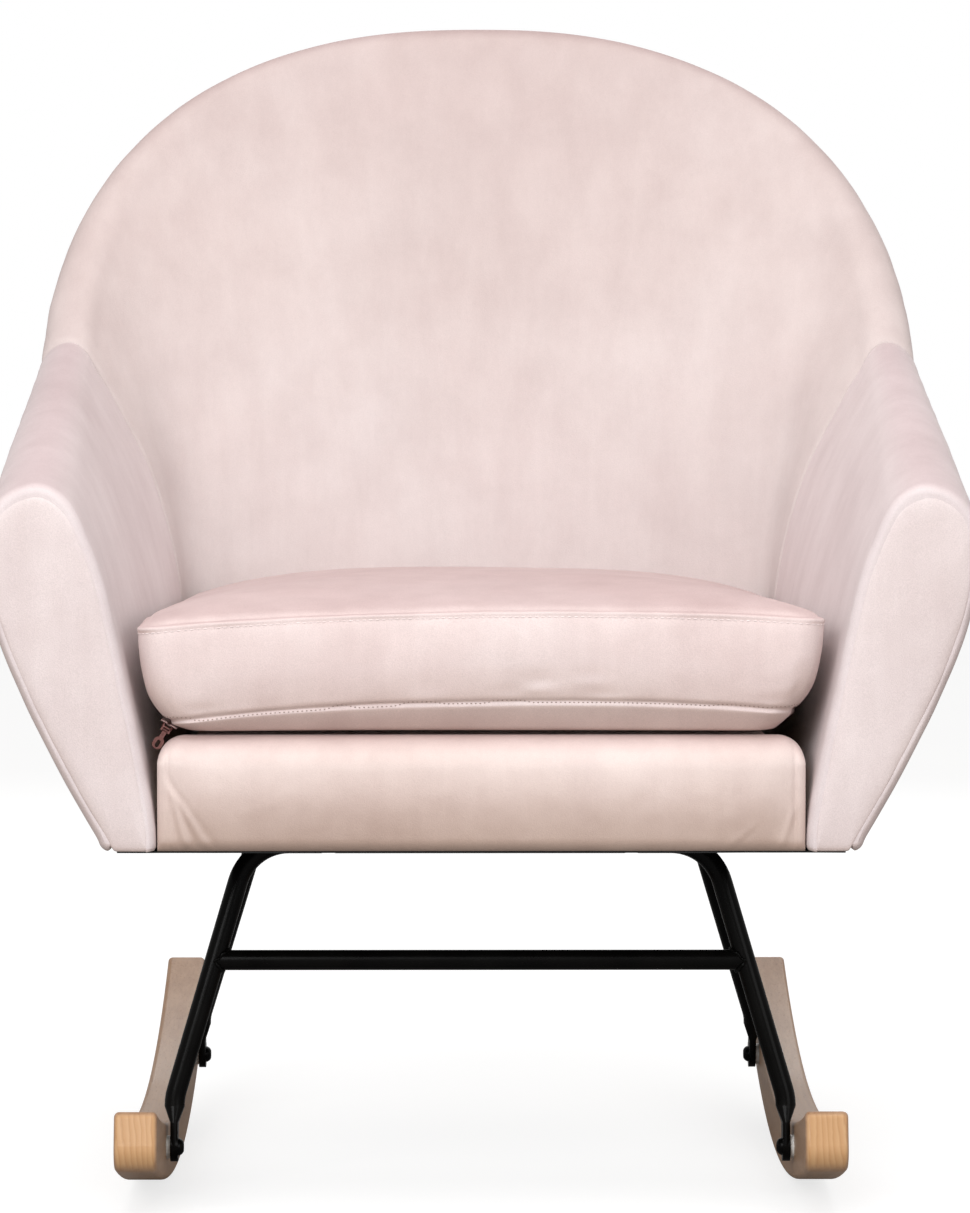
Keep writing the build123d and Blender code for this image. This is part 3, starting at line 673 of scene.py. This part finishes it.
def make_arm_fronts():
    """The seamed panel on each arm's front, a shallow pillow inside the rolled edge."""
    wall = arm_wall(ARM_FRONT_Y)
    line = pad_line(wall, 30, 20) + cover_line(wall, 30)[1:]
    line = [(r, z) for r, z in line if z > UNDERSIDE + PANEL_INSET]
    middle_r, middle_z = (sum(values) / len(line) for values in zip(*line))
    centre = Vector((middle_r, 0, middle_z))
    rim = []
    for (r, z), (nr, nz) in zip(line, normals(line)):
        inset = PANEL_INSET - stand_out(wall, r, z)
        rim.append(Vector((r - nr * inset, 0, z - nz * inset)))
    low, step = UNDERSIDE + PANEL_LIFT, PANEL_CORNER
    outer = wall.outer(UNDERSIDE) - PANEL_INSET - 0.0010
    inner = wall.inner(UNDERSIDE) + PANEL_INSET
    corners = (
        (outer + 0.0015, low + step), (outer, low), (outer - step, low),
        (inner + step, low), (inner, low), (inner, low + step),
    )
    rim += [Vector((r, 0, z)) for r, z in corners]
    # Share of the way out from the centre, and depth behind the arm's front.
    steps = (
        (1.0, 0.0110), (1.0, 0.0060), (0.996, 0.0032), (0.985, 0.0016), (0.96, 0.0008),
        (0.92, 0.0002), (0.84, -0.0006), (0.72, -0.0012), (0.55, -0.0018), (0.36, -0.0022),
        (0.18, -0.0024),
    )
    for side, sign in (("right", 1), ("left", -1)):
        loops = []
        for share, depth in steps:
            loop = []
            for p in rim:
                flat = centre.lerp(p, share)
                if p.z < low + 1.2 * PANEL_CORNER:
                    flat.z = mix(flat.z, p.z, smooth(0.95, 1.0, share))
                place = Vector((flat.x * sign, ARM_FRONT_Y + depth, flat.z))
                near = smooth(0.80, 1.0, share)
                place.y += pucker(place, 0.0007) * near + soft_wave(place) * (1 - near)
                loop.append(place)
            loops.append(loop)
        padded_piece(f"{side}_arm_front", loops, FRONT_VELVET, f"{side}_arm_front_panel")


# ---- front border and deck ----

BORDER_LOW, BORDER_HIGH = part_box("front_border_pad")
RAIL_LOW, RAIL_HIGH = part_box("seat_front_rail")
DECK_LOW, DECK_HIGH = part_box("seat_deck_pad")

TOP_ROLL = 0.024  # radius of the border's upper edge
BORDER_CORNER = 0.021  # radius of its upper corners, seen from the front
BORDER_TOP_RISE = 0.0025  # of the padding above the frame's border
BORDER_SWELL = 0.0075  # how far its face bulges

# Folds pulled from the border's ends: start x, start height, run in x per unit of drop, depth.
BORDER_FOLDS = (
    (-0.2385, 0.346, 0.05, 0.0012), (-0.238, 0.342, 0.30, 0.0016), (-0.237, 0.338, 0.62, 0.0013),
    (0.2365, 0.322, -0.30, 0.0008), (0.212, 0.312, -1.10, 0.0007),
)


def border_fold(x, z):
    """Sum of the pulled folds at a place on the border's face."""
    total = 0.0
    for start_x, start_z, lean, depth in BORDER_FOLDS:
        drop = start_z - z
        if drop <= 0:
            continue
        off = (x - start_x - lean * drop) / (0.0020 + 0.03 * drop)
        total += depth * smooth(0, 0.012, drop) * (exp(-off * off) - 0.6 * exp(-((off - 1.6) ** 2)))
    return total


def make_border():
    """The velvet front rail: a rounded roll along its top, pulled tight under at the bottom."""
    back_y, inner_y, rail_z = RAIL_LOW.y - 0.001, RAIL_HIGH.y + 0.001, RAIL_HIGH.z + 0.001
    face_y, top_z = BORDER_LOW.y, BORDER_HIGH.z + BORDER_TOP_RISE
    section = [(back_y, UNDERSIDE), (face_y + EDGE_ROLL, UNDERSIDE)]
    for i in range(1, 6):
        a = pi / 2 * i / 5
        section.append((face_y + EDGE_ROLL * (1 - sin(a)), UNDERSIDE + EDGE_ROLL * (1 - cos(a))))
    for i in range(1, 19):
        section.append((face_y, mix(UNDERSIDE + EDGE_ROLL, top_z - TOP_ROLL, i / 18)))
    for i in range(1, 13):
        a = pi / 2 * i / 12
        section.append((face_y + TOP_ROLL * (1 - cos(a)), top_z - TOP_ROLL * (1 - sin(a))))
    for i in range(1, 5):
        section.append((mix(face_y + TOP_ROLL, inner_y, i / 4), top_z - 0.0002 * i * i))
    section += [(inner_y, rail_z), (back_y, rail_z), (back_y, mix(UNDERSIDE, RAIL_HIGH.z, 0.5))]
    half = BORDER_HIGH.x
    loops = []
    for x in eased(-half, half, 150, 0.0004):
        in_from_end = half - abs(x)
        corner_drop = roll(in_from_end, BORDER_CORNER)
        end_tuck = roll(in_from_end, 0.006)
        crease = 0.0013 * exp(-(((in_from_end - 0.0085) / 0.0016) ** 2))
        loop = []
        for y, z in section:
            high = smooth(mix(UNDERSIDE, top_z, 0.35), top_z, z)
            front = smooth(inner_y, face_y + 0.004, y)
            upper = max(0.0, z - (top_z - BORDER_CORNER)) / BORDER_CORNER
            place = Vector((x, y, z - corner_drop * upper))
            face_share = front * smooth(UNDERSIDE, UNDERSIDE + 0.006, z)
            rise = (z - UNDERSIDE) / (top_z - UNDERSIDE)
            swell = BORDER_SWELL * sin(pi * min(1.0, rise) ** 1.15)
            swell *= smooth(0, 0.035, in_from_end)
            lift = swell + border_fold(x, z) - crease - end_tuck + 0.5 * pucker(place, 0.0008)
            place.y -= lift * face_share
            place.z += 0.6 * soft_wave(place) * high * (1 - upper)
            loop.append(place)
        loops.append(loop)
    padded_piece("front_border", loops, BORDER_VELVET, "front_border_pad")


def rounded_outline(
    front_half, rear_half, front_y, rear_y, front_corner, rear_corner, sides=34, corner_steps=7
):
    """Points round a plan that narrows to the back, with rounded corners."""
    corners = (
        (-front_half, front_y, front_corner, pi), (front_half, front_y, front_corner, 1.5 * pi),
        (rear_half, rear_y, rear_corner, 0.0), (-rear_half, rear_y, rear_corner, 0.5 * pi),
    )
    arcs = []
    for x, y, radius, start in corners:
        cx = x - radius if x > 0 else x + radius
        cy = y + radius if start >= pi else y - radius
        arc = []
        for i in range(corner_steps + 1):
            a = start + pi / 2 * i / corner_steps
            arc.append(Vector((cx + radius * cos(a), cy + radius * sin(a), 0)))
        arcs.append(arc)
    outline = []
    for index, arc in enumerate(arcs):
        outline += arc
        after = arcs[(index + 1) % 4][0]
        for i in range(1, sides):
            outline.append(arc[-1].lerp(after, i / sides))
    return outline


def make_deck():
    """The padded seat deck under the loose cushion, with a softly rolled edge."""
    loops = []
    half = DECK_HIGH.x
    centre = Vector(((DECK_LOW.x + half) / 2, (DECK_LOW.y + DECK_HIGH.y) / 2, 0))
    outline = rounded_outline(half, half, DECK_LOW.y, DECK_HIGH.y, 0.012, 0.05, 20, 6)
    # Share of the way out from the centre, and share of the deck's height.
    steps = (
        (0.4, 0.0), (0.9, 0.0), (0.996, 0.0), (1.0, 0.35), (1.0, 0.62), (0.994, 0.80),
        (0.978, 0.92), (0.95, 0.975), (0.90, 0.99), (0.75, 1.0), (0.55, 1.0), (0.3, 1.0),
    )
    for share, height in steps:
        loop = []
        for p in outline:
            flat = centre.lerp(p, share)
            place = Vector((flat.x, flat.y, mix(DECK_LOW.z, DECK_HIGH.z - 0.0010, height)))
            place.z += 0.5 * soft_wave(place) * height
            loop.append(place)
        loops.append(loop)
    padded_piece("seat_deck_cover", loops, BORDER_VELVET, "seat_deck_pad")


# ---- seat cushion ----

FRONT_HALF = 0.247  # half-width at the lower seam, front and rear
REAR_HALF = 0.236
TOP_FRONT_HALF = CUSHION_HIGH.x
TOP_REAR_HALF = 0.241
LOWER_SEAM_Z = CUSHION_LOW.z + 0.012
UPPER_SEAM_Z = 0.462
BEVEL = 0.020  # how far the underside is drawn in
CROWN_Z = CUSHION_LOW.z + 0.1125
CORNER_TUCK = 0.011  # how far the lower front corners draw in
SIDE_SWELL = 0.0045  # how far the boxing bulges before it is inflated
FRONT_CORNER = 0.022  # corner radii of the plan
REAR_CORNER = 0.045
ARM_ROOM = 0.0025  # kept clear between the cushion and the tub
TOP_STITCH_DROP = 0.0066  # from the upper seam down to the topstitching
FOAM_MIDDLE_Z = 0.432

# Cloth simulation.
PRESSURE = 4.0
SIM_FRAMES = 20
VOXEL = 0.006
SWELL_CAP = 0.010  # furthest that the cloth may move

# Places of the cushion's rows: inset shares of the underside, heights up the boxing, and shares
# of the top out from its middle.
UNDER_SHARES = (1.75, 1.5, 1.25, 1.08, 1.0, 0.85, 0.7, 0.55, 0.4, 0.28, 0.18, 0.11, 0.05)
SIDE_SHARES = (
    0, 0.02, 0.045, 0.075, 0.11, 0.16, 0.22, 0.29, 0.37, 0.46, 0.55, 0.64, 0.72, 0.79, 0.85, 0.89,
    0.92, 0.945, 0.965, 0.985, 1.0,
)
TOP_SHARES = (
    0.994, 0.986, 0.976, 0.962, 0.945, 0.92, 0.89, 0.85, 0.80, 0.73, 0.65, 0.56, 0.46, 0.36, 0.25,
    0.13,
)

# Gathers above the lower seam: x at the seam, lean per unit of height, height, depth.
GATHERS = (
    (0.030, -0.35, 0.022, 0.0011), (0.041, -0.55, 0.026, 0.0017), (0.050, -0.60, 0.030, 0.0019),
    (0.066, -0.45, 0.014, 0.0009), (0.097, -0.75, 0.026, 0.0013), (-0.035, -0.30, 0.014, 0.0006),
    (0.236, 0.10, 0.040, 0.0018), (0.222, -0.2, 0.022, 0.0010), (-0.214, 0.30, 0.020, 0.0009),
)


def at_front(y):
    """1 on the cushion's front face, fading to 0 along its sides."""
    return 1 - smooth(0.012, 0.10, y - CUSHION_LOW.y)


def lower_seam(x, y):
    """Height of the boxing's lower seam."""
    bow = 1 - min(1.0, abs(x / 0.25)) ** 2.4
    return LOWER_SEAM_Z + at_front(y) * (0.0125 * bow + 0.0045 * x / 0.25 - 0.002)


def upper_seam(x, y):
    """Height of the boxing's upper seam."""
    bow = 1 - min(1.0, abs(x / 0.26)) ** 2.2
    return UPPER_SEAM_Z + at_front(y) * (0.0095 * bow + 0.0035 * x / 0.26 - 0.0015)


def cushion_outline(rise):
    """The cushion's plan, from its lower seam (rise 0) to its upper seam (rise 1)."""
    front_half = mix(FRONT_HALF, TOP_FRONT_HALF, rise)
    rear_half = mix(REAR_HALF, TOP_REAR_HALF, rise)
    ends = CUSHION_LOW.y, CUSHION_HIGH.y
    return rounded_outline(front_half, rear_half, *ends, FRONT_CORNER, REAR_CORNER)


def cushion_loop(level, share):
    """One loop round the cushion.

    On the "side", share runs from the lower seam (0) to the upper (1). "under", it runs from the
    seam (0) past the drawn-in edge (1) to the middle (2). On "top", it runs from the middle (0) to
    the seam (1)."""
    loop = []
    outline = cushion_outline({"under": 0, "side": share, "top": 1}[level])
    middle = Vector((0, (CUSHION_LOW.y + CUSHION_HIGH.y) / 2, 0))
    for p in outline:
        low, high = lower_seam(p.x, p.y), upper_seam(p.x, p.y)
        tuck = CORNER_TUCK * smooth(0.17, 0.245, abs(p.x)) * at_front(p.y)
        side = -1 if p.x < 0 else 1
        if level == "side":
            out = (p - middle).normalized() * (SIDE_SWELL * sin(pi * share))
            low_corner = side * tuck * max(0.0, 1 - share / 0.34) ** 2
            place = Vector((p.x + out.x - low_corner, p.y + out.y, mix(low, high, share)))
        elif level == "under":
            edge = Vector((p.x - side * tuck, p.y, p.z))
            inward = (middle - edge).normalized()
            if share <= 1:
                place = edge + inward * (BEVEL * share)
                place.z = mix(low, CUSHION_LOW.z, share**0.8)
            else:
                place = (edge + inward * BEVEL).lerp(middle, share - 1)
                place.z = CUSHION_LOW.z
        else:
            place = middle.lerp(p, share)
            place.z = high + (CROWN_Z - high) * (1 - share**3.6)
        loop.append(place)
    return loop


def cushion_rows():
    """Loops from the middle of the underside, round the boxing, to the middle of the top."""
    levels = (("under", UNDER_SHARES), ("side", SIDE_SHARES), ("top", TOP_SHARES))
    return [cushion_loop(level, share) for level, shares in levels for share in shares]


def evaluated(ghost):
    """A new mesh with an object's modifiers applied."""
    graph = bpy.context.evaluated_depsgraph_get()
    return bpy.data.meshes.new_from_object(ghost.evaluated_get(graph))


def inflate(rows):
    """The cushion swollen by cloth pressure between its seams, as a search tree of its faces."""
    points, faces = loft_mesh(rows)
    mesh = bpy.data.meshes.new("cushion_sim")
    mesh.from_pydata([tuple(p) for p in points], [], faces)
    ghost = bpy.data.objects.new("cushion_sim", mesh)
    bpy.context.scene.collection.objects.link(ghost)
    remesh = ghost.modifiers.new("voxels", "REMESH")
    remesh.mode = "VOXEL"
    remesh.voxel_size = VOXEL
    even = evaluated(ghost)
    ghost.modifiers.clear()
    ghost.data = even
    rest = [v.co.copy() for v in even.vertices]
    held = ghost.vertex_groups.new(name="seams")
    for index, p in enumerate(rest):
        near_top = abs(p.z - upper_seam(p.x, p.y)) < 0.004 and edge_distance(p) < 0.012
        if near_top or p.z < lower_seam(p.x, p.y) + 0.003:
            held.add([index], 1.0, "REPLACE")
    cloth = ghost.modifiers.new("cloth", "CLOTH")
    cloth.settings.use_pressure = True
    cloth.settings.uniform_pressure_force = PRESSURE
    cloth.settings.effector_weights.gravity = 0
    cloth.settings.vertex_group_mass = "seams"
    cloth.point_cache.frame_start = 1
    cloth.point_cache.frame_end = SIM_FRAMES
    scene = bpy.context.scene
    for now in range(1, SIM_FRAMES + 1):
        scene.frame_set(now)
    swollen = evaluated(ghost)
    moved = []
    for start, vertex in zip(rest, swollen.vertices):
        step = vertex.co - start
        if step.length > SWELL_CAP:
            step *= SWELL_CAP / step.length
        moved.append(start + step)
    tree = BVHTree.FromPolygons(moved, [tuple(face.vertices) for face in swollen.polygons])
    bpy.data.objects.remove(ghost)
    for left in (mesh, even, swollen):
        bpy.data.meshes.remove(left)
    scene.frame_set(1)
    return tree


def edge_distance(p):
    """How far a place is inside the cushion's plan."""
    along = (p.y - CUSHION_LOW.y) / (CUSHION_HIGH.y - CUSHION_LOW.y)
    half = mix(TOP_FRONT_HALF, TOP_REAR_HALF, along)
    return min(half - abs(p.x), p.y - CUSHION_LOW.y, CUSHION_HIGH.y - p.y)


def gather(x, z, low):
    """Sum of the small gathers above the lower seam."""
    total = 0.0
    for seam_x, lean, tall, depth in GATHERS:
        up = z - low
        if not 0 < up < tall:
            continue
        off = (x - seam_x - lean * up) / 0.0034
        profile = 0.8 * exp(-((off + 1.1) ** 2)) - exp(-off * off)
        total += depth * sin(pi * up / tall) ** 0.6 * profile
    return total


def cushion_detail(rows):
    """Seams, the folded seam allowance, gathers and puckers, pressed into the swollen cushion."""
    points, faces = loft_mesh(rows)
    mesh = bpy.data.meshes.new("detail")
    mesh.from_pydata([tuple(p) for p in points], [], faces)
    tidy = bmesh.new()
    tidy.from_mesh(mesh)
    bmesh.ops.recalc_face_normals(tidy, faces=tidy.faces)
    tidy.normal_update()
    outward = [v.normal.copy() for v in tidy.verts]
    tidy.free()
    bpy.data.meshes.remove(mesh)
    count = len(rows[0])
    shaped = []
    for row_index, row in enumerate(rows):
        shaped.append([])
        for i, p in enumerate(row):
            normal = outward[row_index * count + i]
            low, high = lower_seam(p.x, p.y), upper_seam(p.x, p.y)
            on_side = 0 <= row_index - len(UNDER_SHARES) < len(SIDE_SHARES)
            outside = edge_distance(p) < 0.03 or on_side
            from_high, from_low = p.z - high, p.z - low
            lift = soft_wave(p) * 0.8
            if outside:
                lift -= 0.0022 * exp(-((from_high / 0.0019) ** 2))
                lift += 0.0010 * exp(-(((from_high + 0.0032) / 0.0026) ** 2))
                lift -= 0.0009 * exp(-(((from_high + 0.0066) / 0.0012) ** 2))
                lift -= 0.0024 * exp(-((from_low / 0.0016) ** 2))
                near = exp(-abs(from_high) / 0.010) + exp(-abs(from_low) / 0.014)
                lift += pucker(p, 0.0009) * near
                if p.y < CUSHION_LOW.y + 0.03:
                    lift += gather(p.x, p.z, low)
            under = smooth(0, 0.010, low - p.z)
            lift *= 1 - 0.85 * under
            if p.x < 0 and p.y > CUSHION_LOW.y + 0.006 and p.z < low:
                lift = min(lift, 0.0)
            shaped[-1].append(p + normal * lift)
    return shaped


def keep_in_tub(p):
    """Hold a place clear of the arms and back."""
    if p.y > SEAM_Y:
        angle = atan2(p.y - SEAM_Y, abs(p.x))
        room = inner_plan(angle) - ARM_ROOM
        reach = hypot(p.x, p.y - SEAM_Y)
        if reach > room:
            p.x *= room / reach
            p.y = SEAM_Y + (p.y - SEAM_Y) * room / reach
    else:
        room = arm_wall(p.y).inner(p.z) - ARM_ROOM
        p.x = max(-room, min(room, p.x))
    return p


def make_cushion():
    """The loose boxed cushion, its topstitching and the stitches of its lower seam."""
    rows = cushion_rows()
    tree = inflate(rows)
    for index, row in enumerate(rows):
        if index < len(UNDER_SHARES):
            continue
        for i, p in enumerate(row):
            found = tree.find_nearest(p)[0]
            if found and (found - p).length < 1.5 * SWELL_CAP:
                row[i] = found
    rows = [[keep_in_tub(p) for p in row] for row in cushion_detail(rows)]
    cushion = padded_piece(
        "seat_cushion_cover", rows, CUSHION_VELVET, "cushion_cover", "seat_cushion"
    )
    centre = Vector((0, (CUSHION_LOW.y + CUSHION_HIGH.y) / 2, FOAM_MIDDLE_Z))
    shrink = Vector((0.985, 0.985, 0.94))
    core = [[centre + (p - centre) * shrink for p in row] for row in rows[::2]]
    padded_piece("cushion_foam_block", core, FOAM, "cushion_foam", "seat_cushion")
    tree = BVHTree.FromObject(cushion, bpy.context.evaluated_depsgraph_get())
    line = [
        Vector((p.x, p.y, upper_seam(p.x, p.y) - TOP_STITCH_DROP)) for p in cushion_outline(1)
    ]
    stitches("top_stitching", THREAD, tree, line, 0.0034, 0.0050, 0.00036)
    line = [Vector((p.x, p.y, lower_seam(p.x, p.y))) for p in cushion_outline(0)]
    stitches("lower_seam_stitches", SEAM_THREAD, tree, line, 0.0014, 0.0034, 0.00040)


def stitches(name, material, tree, guesses, long, pitch, radius):
    """Short thread stitches laid on the cushion along a closed line near its surface."""
    line = [tree.find_nearest(guess)[0] for guess in guesses + guesses[:1]]
    points, faces = [], []
    travelled = 0.0
    next_at = 0.0
    for a, b in zip(line, line[1:]):
        step = (b - a).length
        while next_at < travelled + step:
            t = (next_at - travelled) / step
            middle, normal = tree.find_nearest(a.lerp(b, t))[:2]
            along = (b - a).normalized()
            across = normal.cross(along).normalized()
            base = len(points)
            for share, size in ((-0.5, 0.35), (-0.25, 1.0), (0.25, 1.0), (0.5, 0.35)):
                for k in range(6):
                    turn = tau * k / 6
                    spot = middle + along * share * long
                    outward = across * cos(turn) + normal * (sin(turn) + 0.4)
                    points.append(spot + outward * radius * size)
            for ring_index in range(3):
                for k in range(6):
                    n = (k + 1) % 6
                    low, high = base + ring_index * 6, base + ring_index * 6 + 6
                    faces.append((low + k, low + n, high + n, high + k))
            faces.append(tuple(base + k for k in range(6)))
            faces.append(tuple(base + 18 + k for k in range(6)))
            next_at += pitch
        travelled += step
    thread = make_piece(name, points, faces, material, "seat_cushion", levels=0)


# ---- zip, welds and dust cover ----


ZIP_START = Vector((-0.2366, -0.374, 0.3824))
ZIP_ALONG = Vector((0.021479, 0.999769, 0))  # the slider's way, as the frame has it
ZIP_OUT = Vector((-0.514464, 0.011053, -0.857441))  # out of the tape's face
ZIP_LONG = 0.400
TOOTH_PITCH = 0.00165
TEETH = 236


def make_zip():
    """The zip's two tapes with their woven edges, and the coil's teeth."""
    across = ZIP_OUT.cross(ZIP_ALONG).normalized()
    points, faces = [], []

    def bar(way, sideways, up, halves, lean=0.0):
        """A small bar at a place along the zip, with its half sizes."""
        base = len(points)
        centre = ZIP_START + ZIP_ALONG * way + across * sideways + ZIP_OUT * up
        for a in (-1, 1):
            for c in (-1, 1):
                for o in (-1, 1):
                    spot = centre + ZIP_ALONG * (a * halves[0] + lean * c) + across * c * halves[1]
                    points.append(spot + ZIP_OUT * o * halves[2])
        sides = (0, 1, 3, 2), (4, 6, 7, 5), (0, 4, 5, 1), (2, 3, 7, 6), (0, 2, 6, 4), (1, 5, 7, 3)
        for face in sides:
            faces.append(tuple(base + i for i in face))

    for side in (-1, 1):
        half = ZIP_LONG / 2
        bar(half, side * 0.0040, 0.0008, (half, 0.0026, 0.0004))
        bar(half, side * 0.0062, 0.0009, (half, 0.0005, 0.0006))
        for i in range(TEETH):
            tooth = (0.00042, 0.0011, 0.00055)
            bar(0.006 + TOOTH_PITCH * i, side * 0.0009, 0.0019, tooth, lean=0.0003 * side)
    name = "cushion_zip_tape_and_coil"
    zip_piece = make_piece(name, points, faces, ZIP_TAPE, "seat_cushion", levels=0)
    zip_piece.data.shade_flat()
    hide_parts("cushion_zip")


LEG_KNEE = (0.241, 0.0783)  # x and z of the front legs' centre lines, at the knee and the top
LEG_TOP = (0.183, 0.2765)
WELD_SIZE = 0.0019


def make_welds():
    """A lumpy weld bead round each end of the front stretcher."""
    low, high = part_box("front_stretcher")
    centre_y, centre_z = (low.y + high.y) / 2, (low.z + high.z) / 2
    radius = (high.z - low.z) / 2
    leg_slope = (LEG_KNEE[0] - LEG_TOP[0]) / (LEG_TOP[1] - LEG_KNEE[1])
    turns, around = 56, 8
    for side, sign in (("left", -1), ("right", 1)):
        points, faces = [], []
        for i in range(turns):
            a = tau * i / turns
            dz, dy = radius * sin(a), radius * cos(a)
            reach = sqrt(max(0.0, radius**2 - dy**2)) * sqrt(1 + leg_slope**2)
            x = sign * (LEG_TOP[0] + leg_slope * (LEG_TOP[1] - centre_z - dz) - reach)
            spot = Vector((x, centre_y + dy, centre_z + dz))
            outward = Vector((0, cos(a), sin(a)))
            along = Vector((sign, 0, 0))
            size = WELD_SIZE * (1 + 0.30 * sin(a * 11) + 0.25 * noise.noise(spot * 600))
            for k in range(around):
                turn = tau * k / around
                bulge = outward * (cos(turn) + 0.15) + along * (sin(turn) - 0.2)
                points.append(spot + bulge * size)
        for i in range(turns):
            for k in range(around):
                j, n = (i + 1) % turns, (k + 1) % around
                faces.append((i * around + k, i * around + n, j * around + n, j * around + k))
        bead = make_piece(f"{side}_stretcher_weld", points, faces, BLACK)


COVER_TAPER = 0.004  # narrower each side at the rear than in front


def make_dust_cover():
    """Black lining cloth stretched under the seat, with its hem turned in all round."""
    low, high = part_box("dust_cover")
    half, rear_half, top = high.x, high.x - COVER_TAPER, high.z
    outline = [(mix(-half, half, i / 30), low.y) for i in range(31)]
    side = [(mix(half, rear_half, i / 24), mix(low.y, SEAM_Y, i / 24)) for i in range(1, 24)]
    outline += side
    for i in range(49):
        a = pi * i / 48
        r = ring(a, rear_half, high.y - SEAM_Y, OUTER_POWER)
        outline.append((r * cos(a), SEAM_Y + r * sin(a)))
    outline += [(-x, y) for x, y in reversed(side)]
    centre = Vector((0, -0.08, 0))
    hem, under = low.z - 0.0004, low.z + 0.0002
    steps = [(share, top) for share in (0.2, 0.5, 0.8, 0.95, 0.999)] + [(1.0, top - 0.0004)]
    steps += [(0.999, hem), (0.985, hem), (0.965, hem), (0.955, hem + 0.0001)]
    steps += [(share, under) for share in (0.952, 0.90, 0.7, 0.45, 0.2)]
    rows = []
    for share, z in steps:
        row = []
        for x, y in outline:
            place = centre.lerp(Vector((x, y, 0)), share)
            place.z = z + (0.0002 * noise.noise(place * 30) if z < top - 0.0005 else 0.0)
            row.append(place)
        rows.append(row)
    cover = make_piece("dust_cover_cloth", *loft_mesh(rows), LINING, levels=0)
    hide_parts("dust_cover")


make_camera()
make_light()
make_tub()
make_arm_fronts()
make_border()
make_deck()
make_cushion()
make_zip()
make_welds()
make_dust_cover()

# ---- finishes of the frame's own nodes ----

FINISHES = {
    BEECH: ("left_rocker", "right_rocker"),
    BLACK: ("front_leg_hoop", "rear_leg_hoop", "front_stretcher", "rocker_bolts"),
    NYLON: ("rocker_bolt_spacers",),
    ZINC: ("rocker_threaded_inserts", "hoop_bolts", "t_nuts"),
    PINE: (
        "seat_front_rail", "seat_rear_rail", "seat_left_rail", "seat_right_rail",
        "front_cross_rail", "rear_cross_rail", "seat_corner_blocks",
        "left_arm_frame", "right_arm_frame", "back_frame",
    ),
    WEBBING: ("webbing_lengthwise", "webbing_crosswise"),
    ROSE_METAL: ("zip_slider", "zip_pull"),
}
for material, names in FINISHES.items():
    for name in names:
        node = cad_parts[name]
        node.data.materials.clear()
        node.data.materials.append(material)


def make_floor():
    """A plain pale floor, nearly white to the camera but dim as a source of bounced light."""
    n = Nodes("studio_floor")
    tone = n.ramp(n.noise(2.0, 2, 0.5), ((0.3, (0.345, 0.343, 0.34)), (0.7, (0.355, 0.353, 0.35))))
    path = n.add("LightPath")
    glow = n.add("Math", operation="MULTIPLY")
    glow.inputs[1].default_value = FLOOR_GLOW
    n.link(path.outputs["Is Camera Ray"], glow.inputs[0])
    n.link(glow.outputs["Value"], n.shader.inputs["Emission Strength"])
    n.shader.inputs["Emission Color"].default_value = (1, 1, 1, 1)
    material = n.finish(tone, n.spread(n.noise(5), 0.85, 0.95), Specular_IOR_Level=0.1)
    bpy.ops.mesh.primitive_plane_add(size=40, location=(0, 12, -0.0005))
    floor = bpy.context.object
    floor.name = "studio_floor"
    floor.data.materials.append(material)


make_floor()
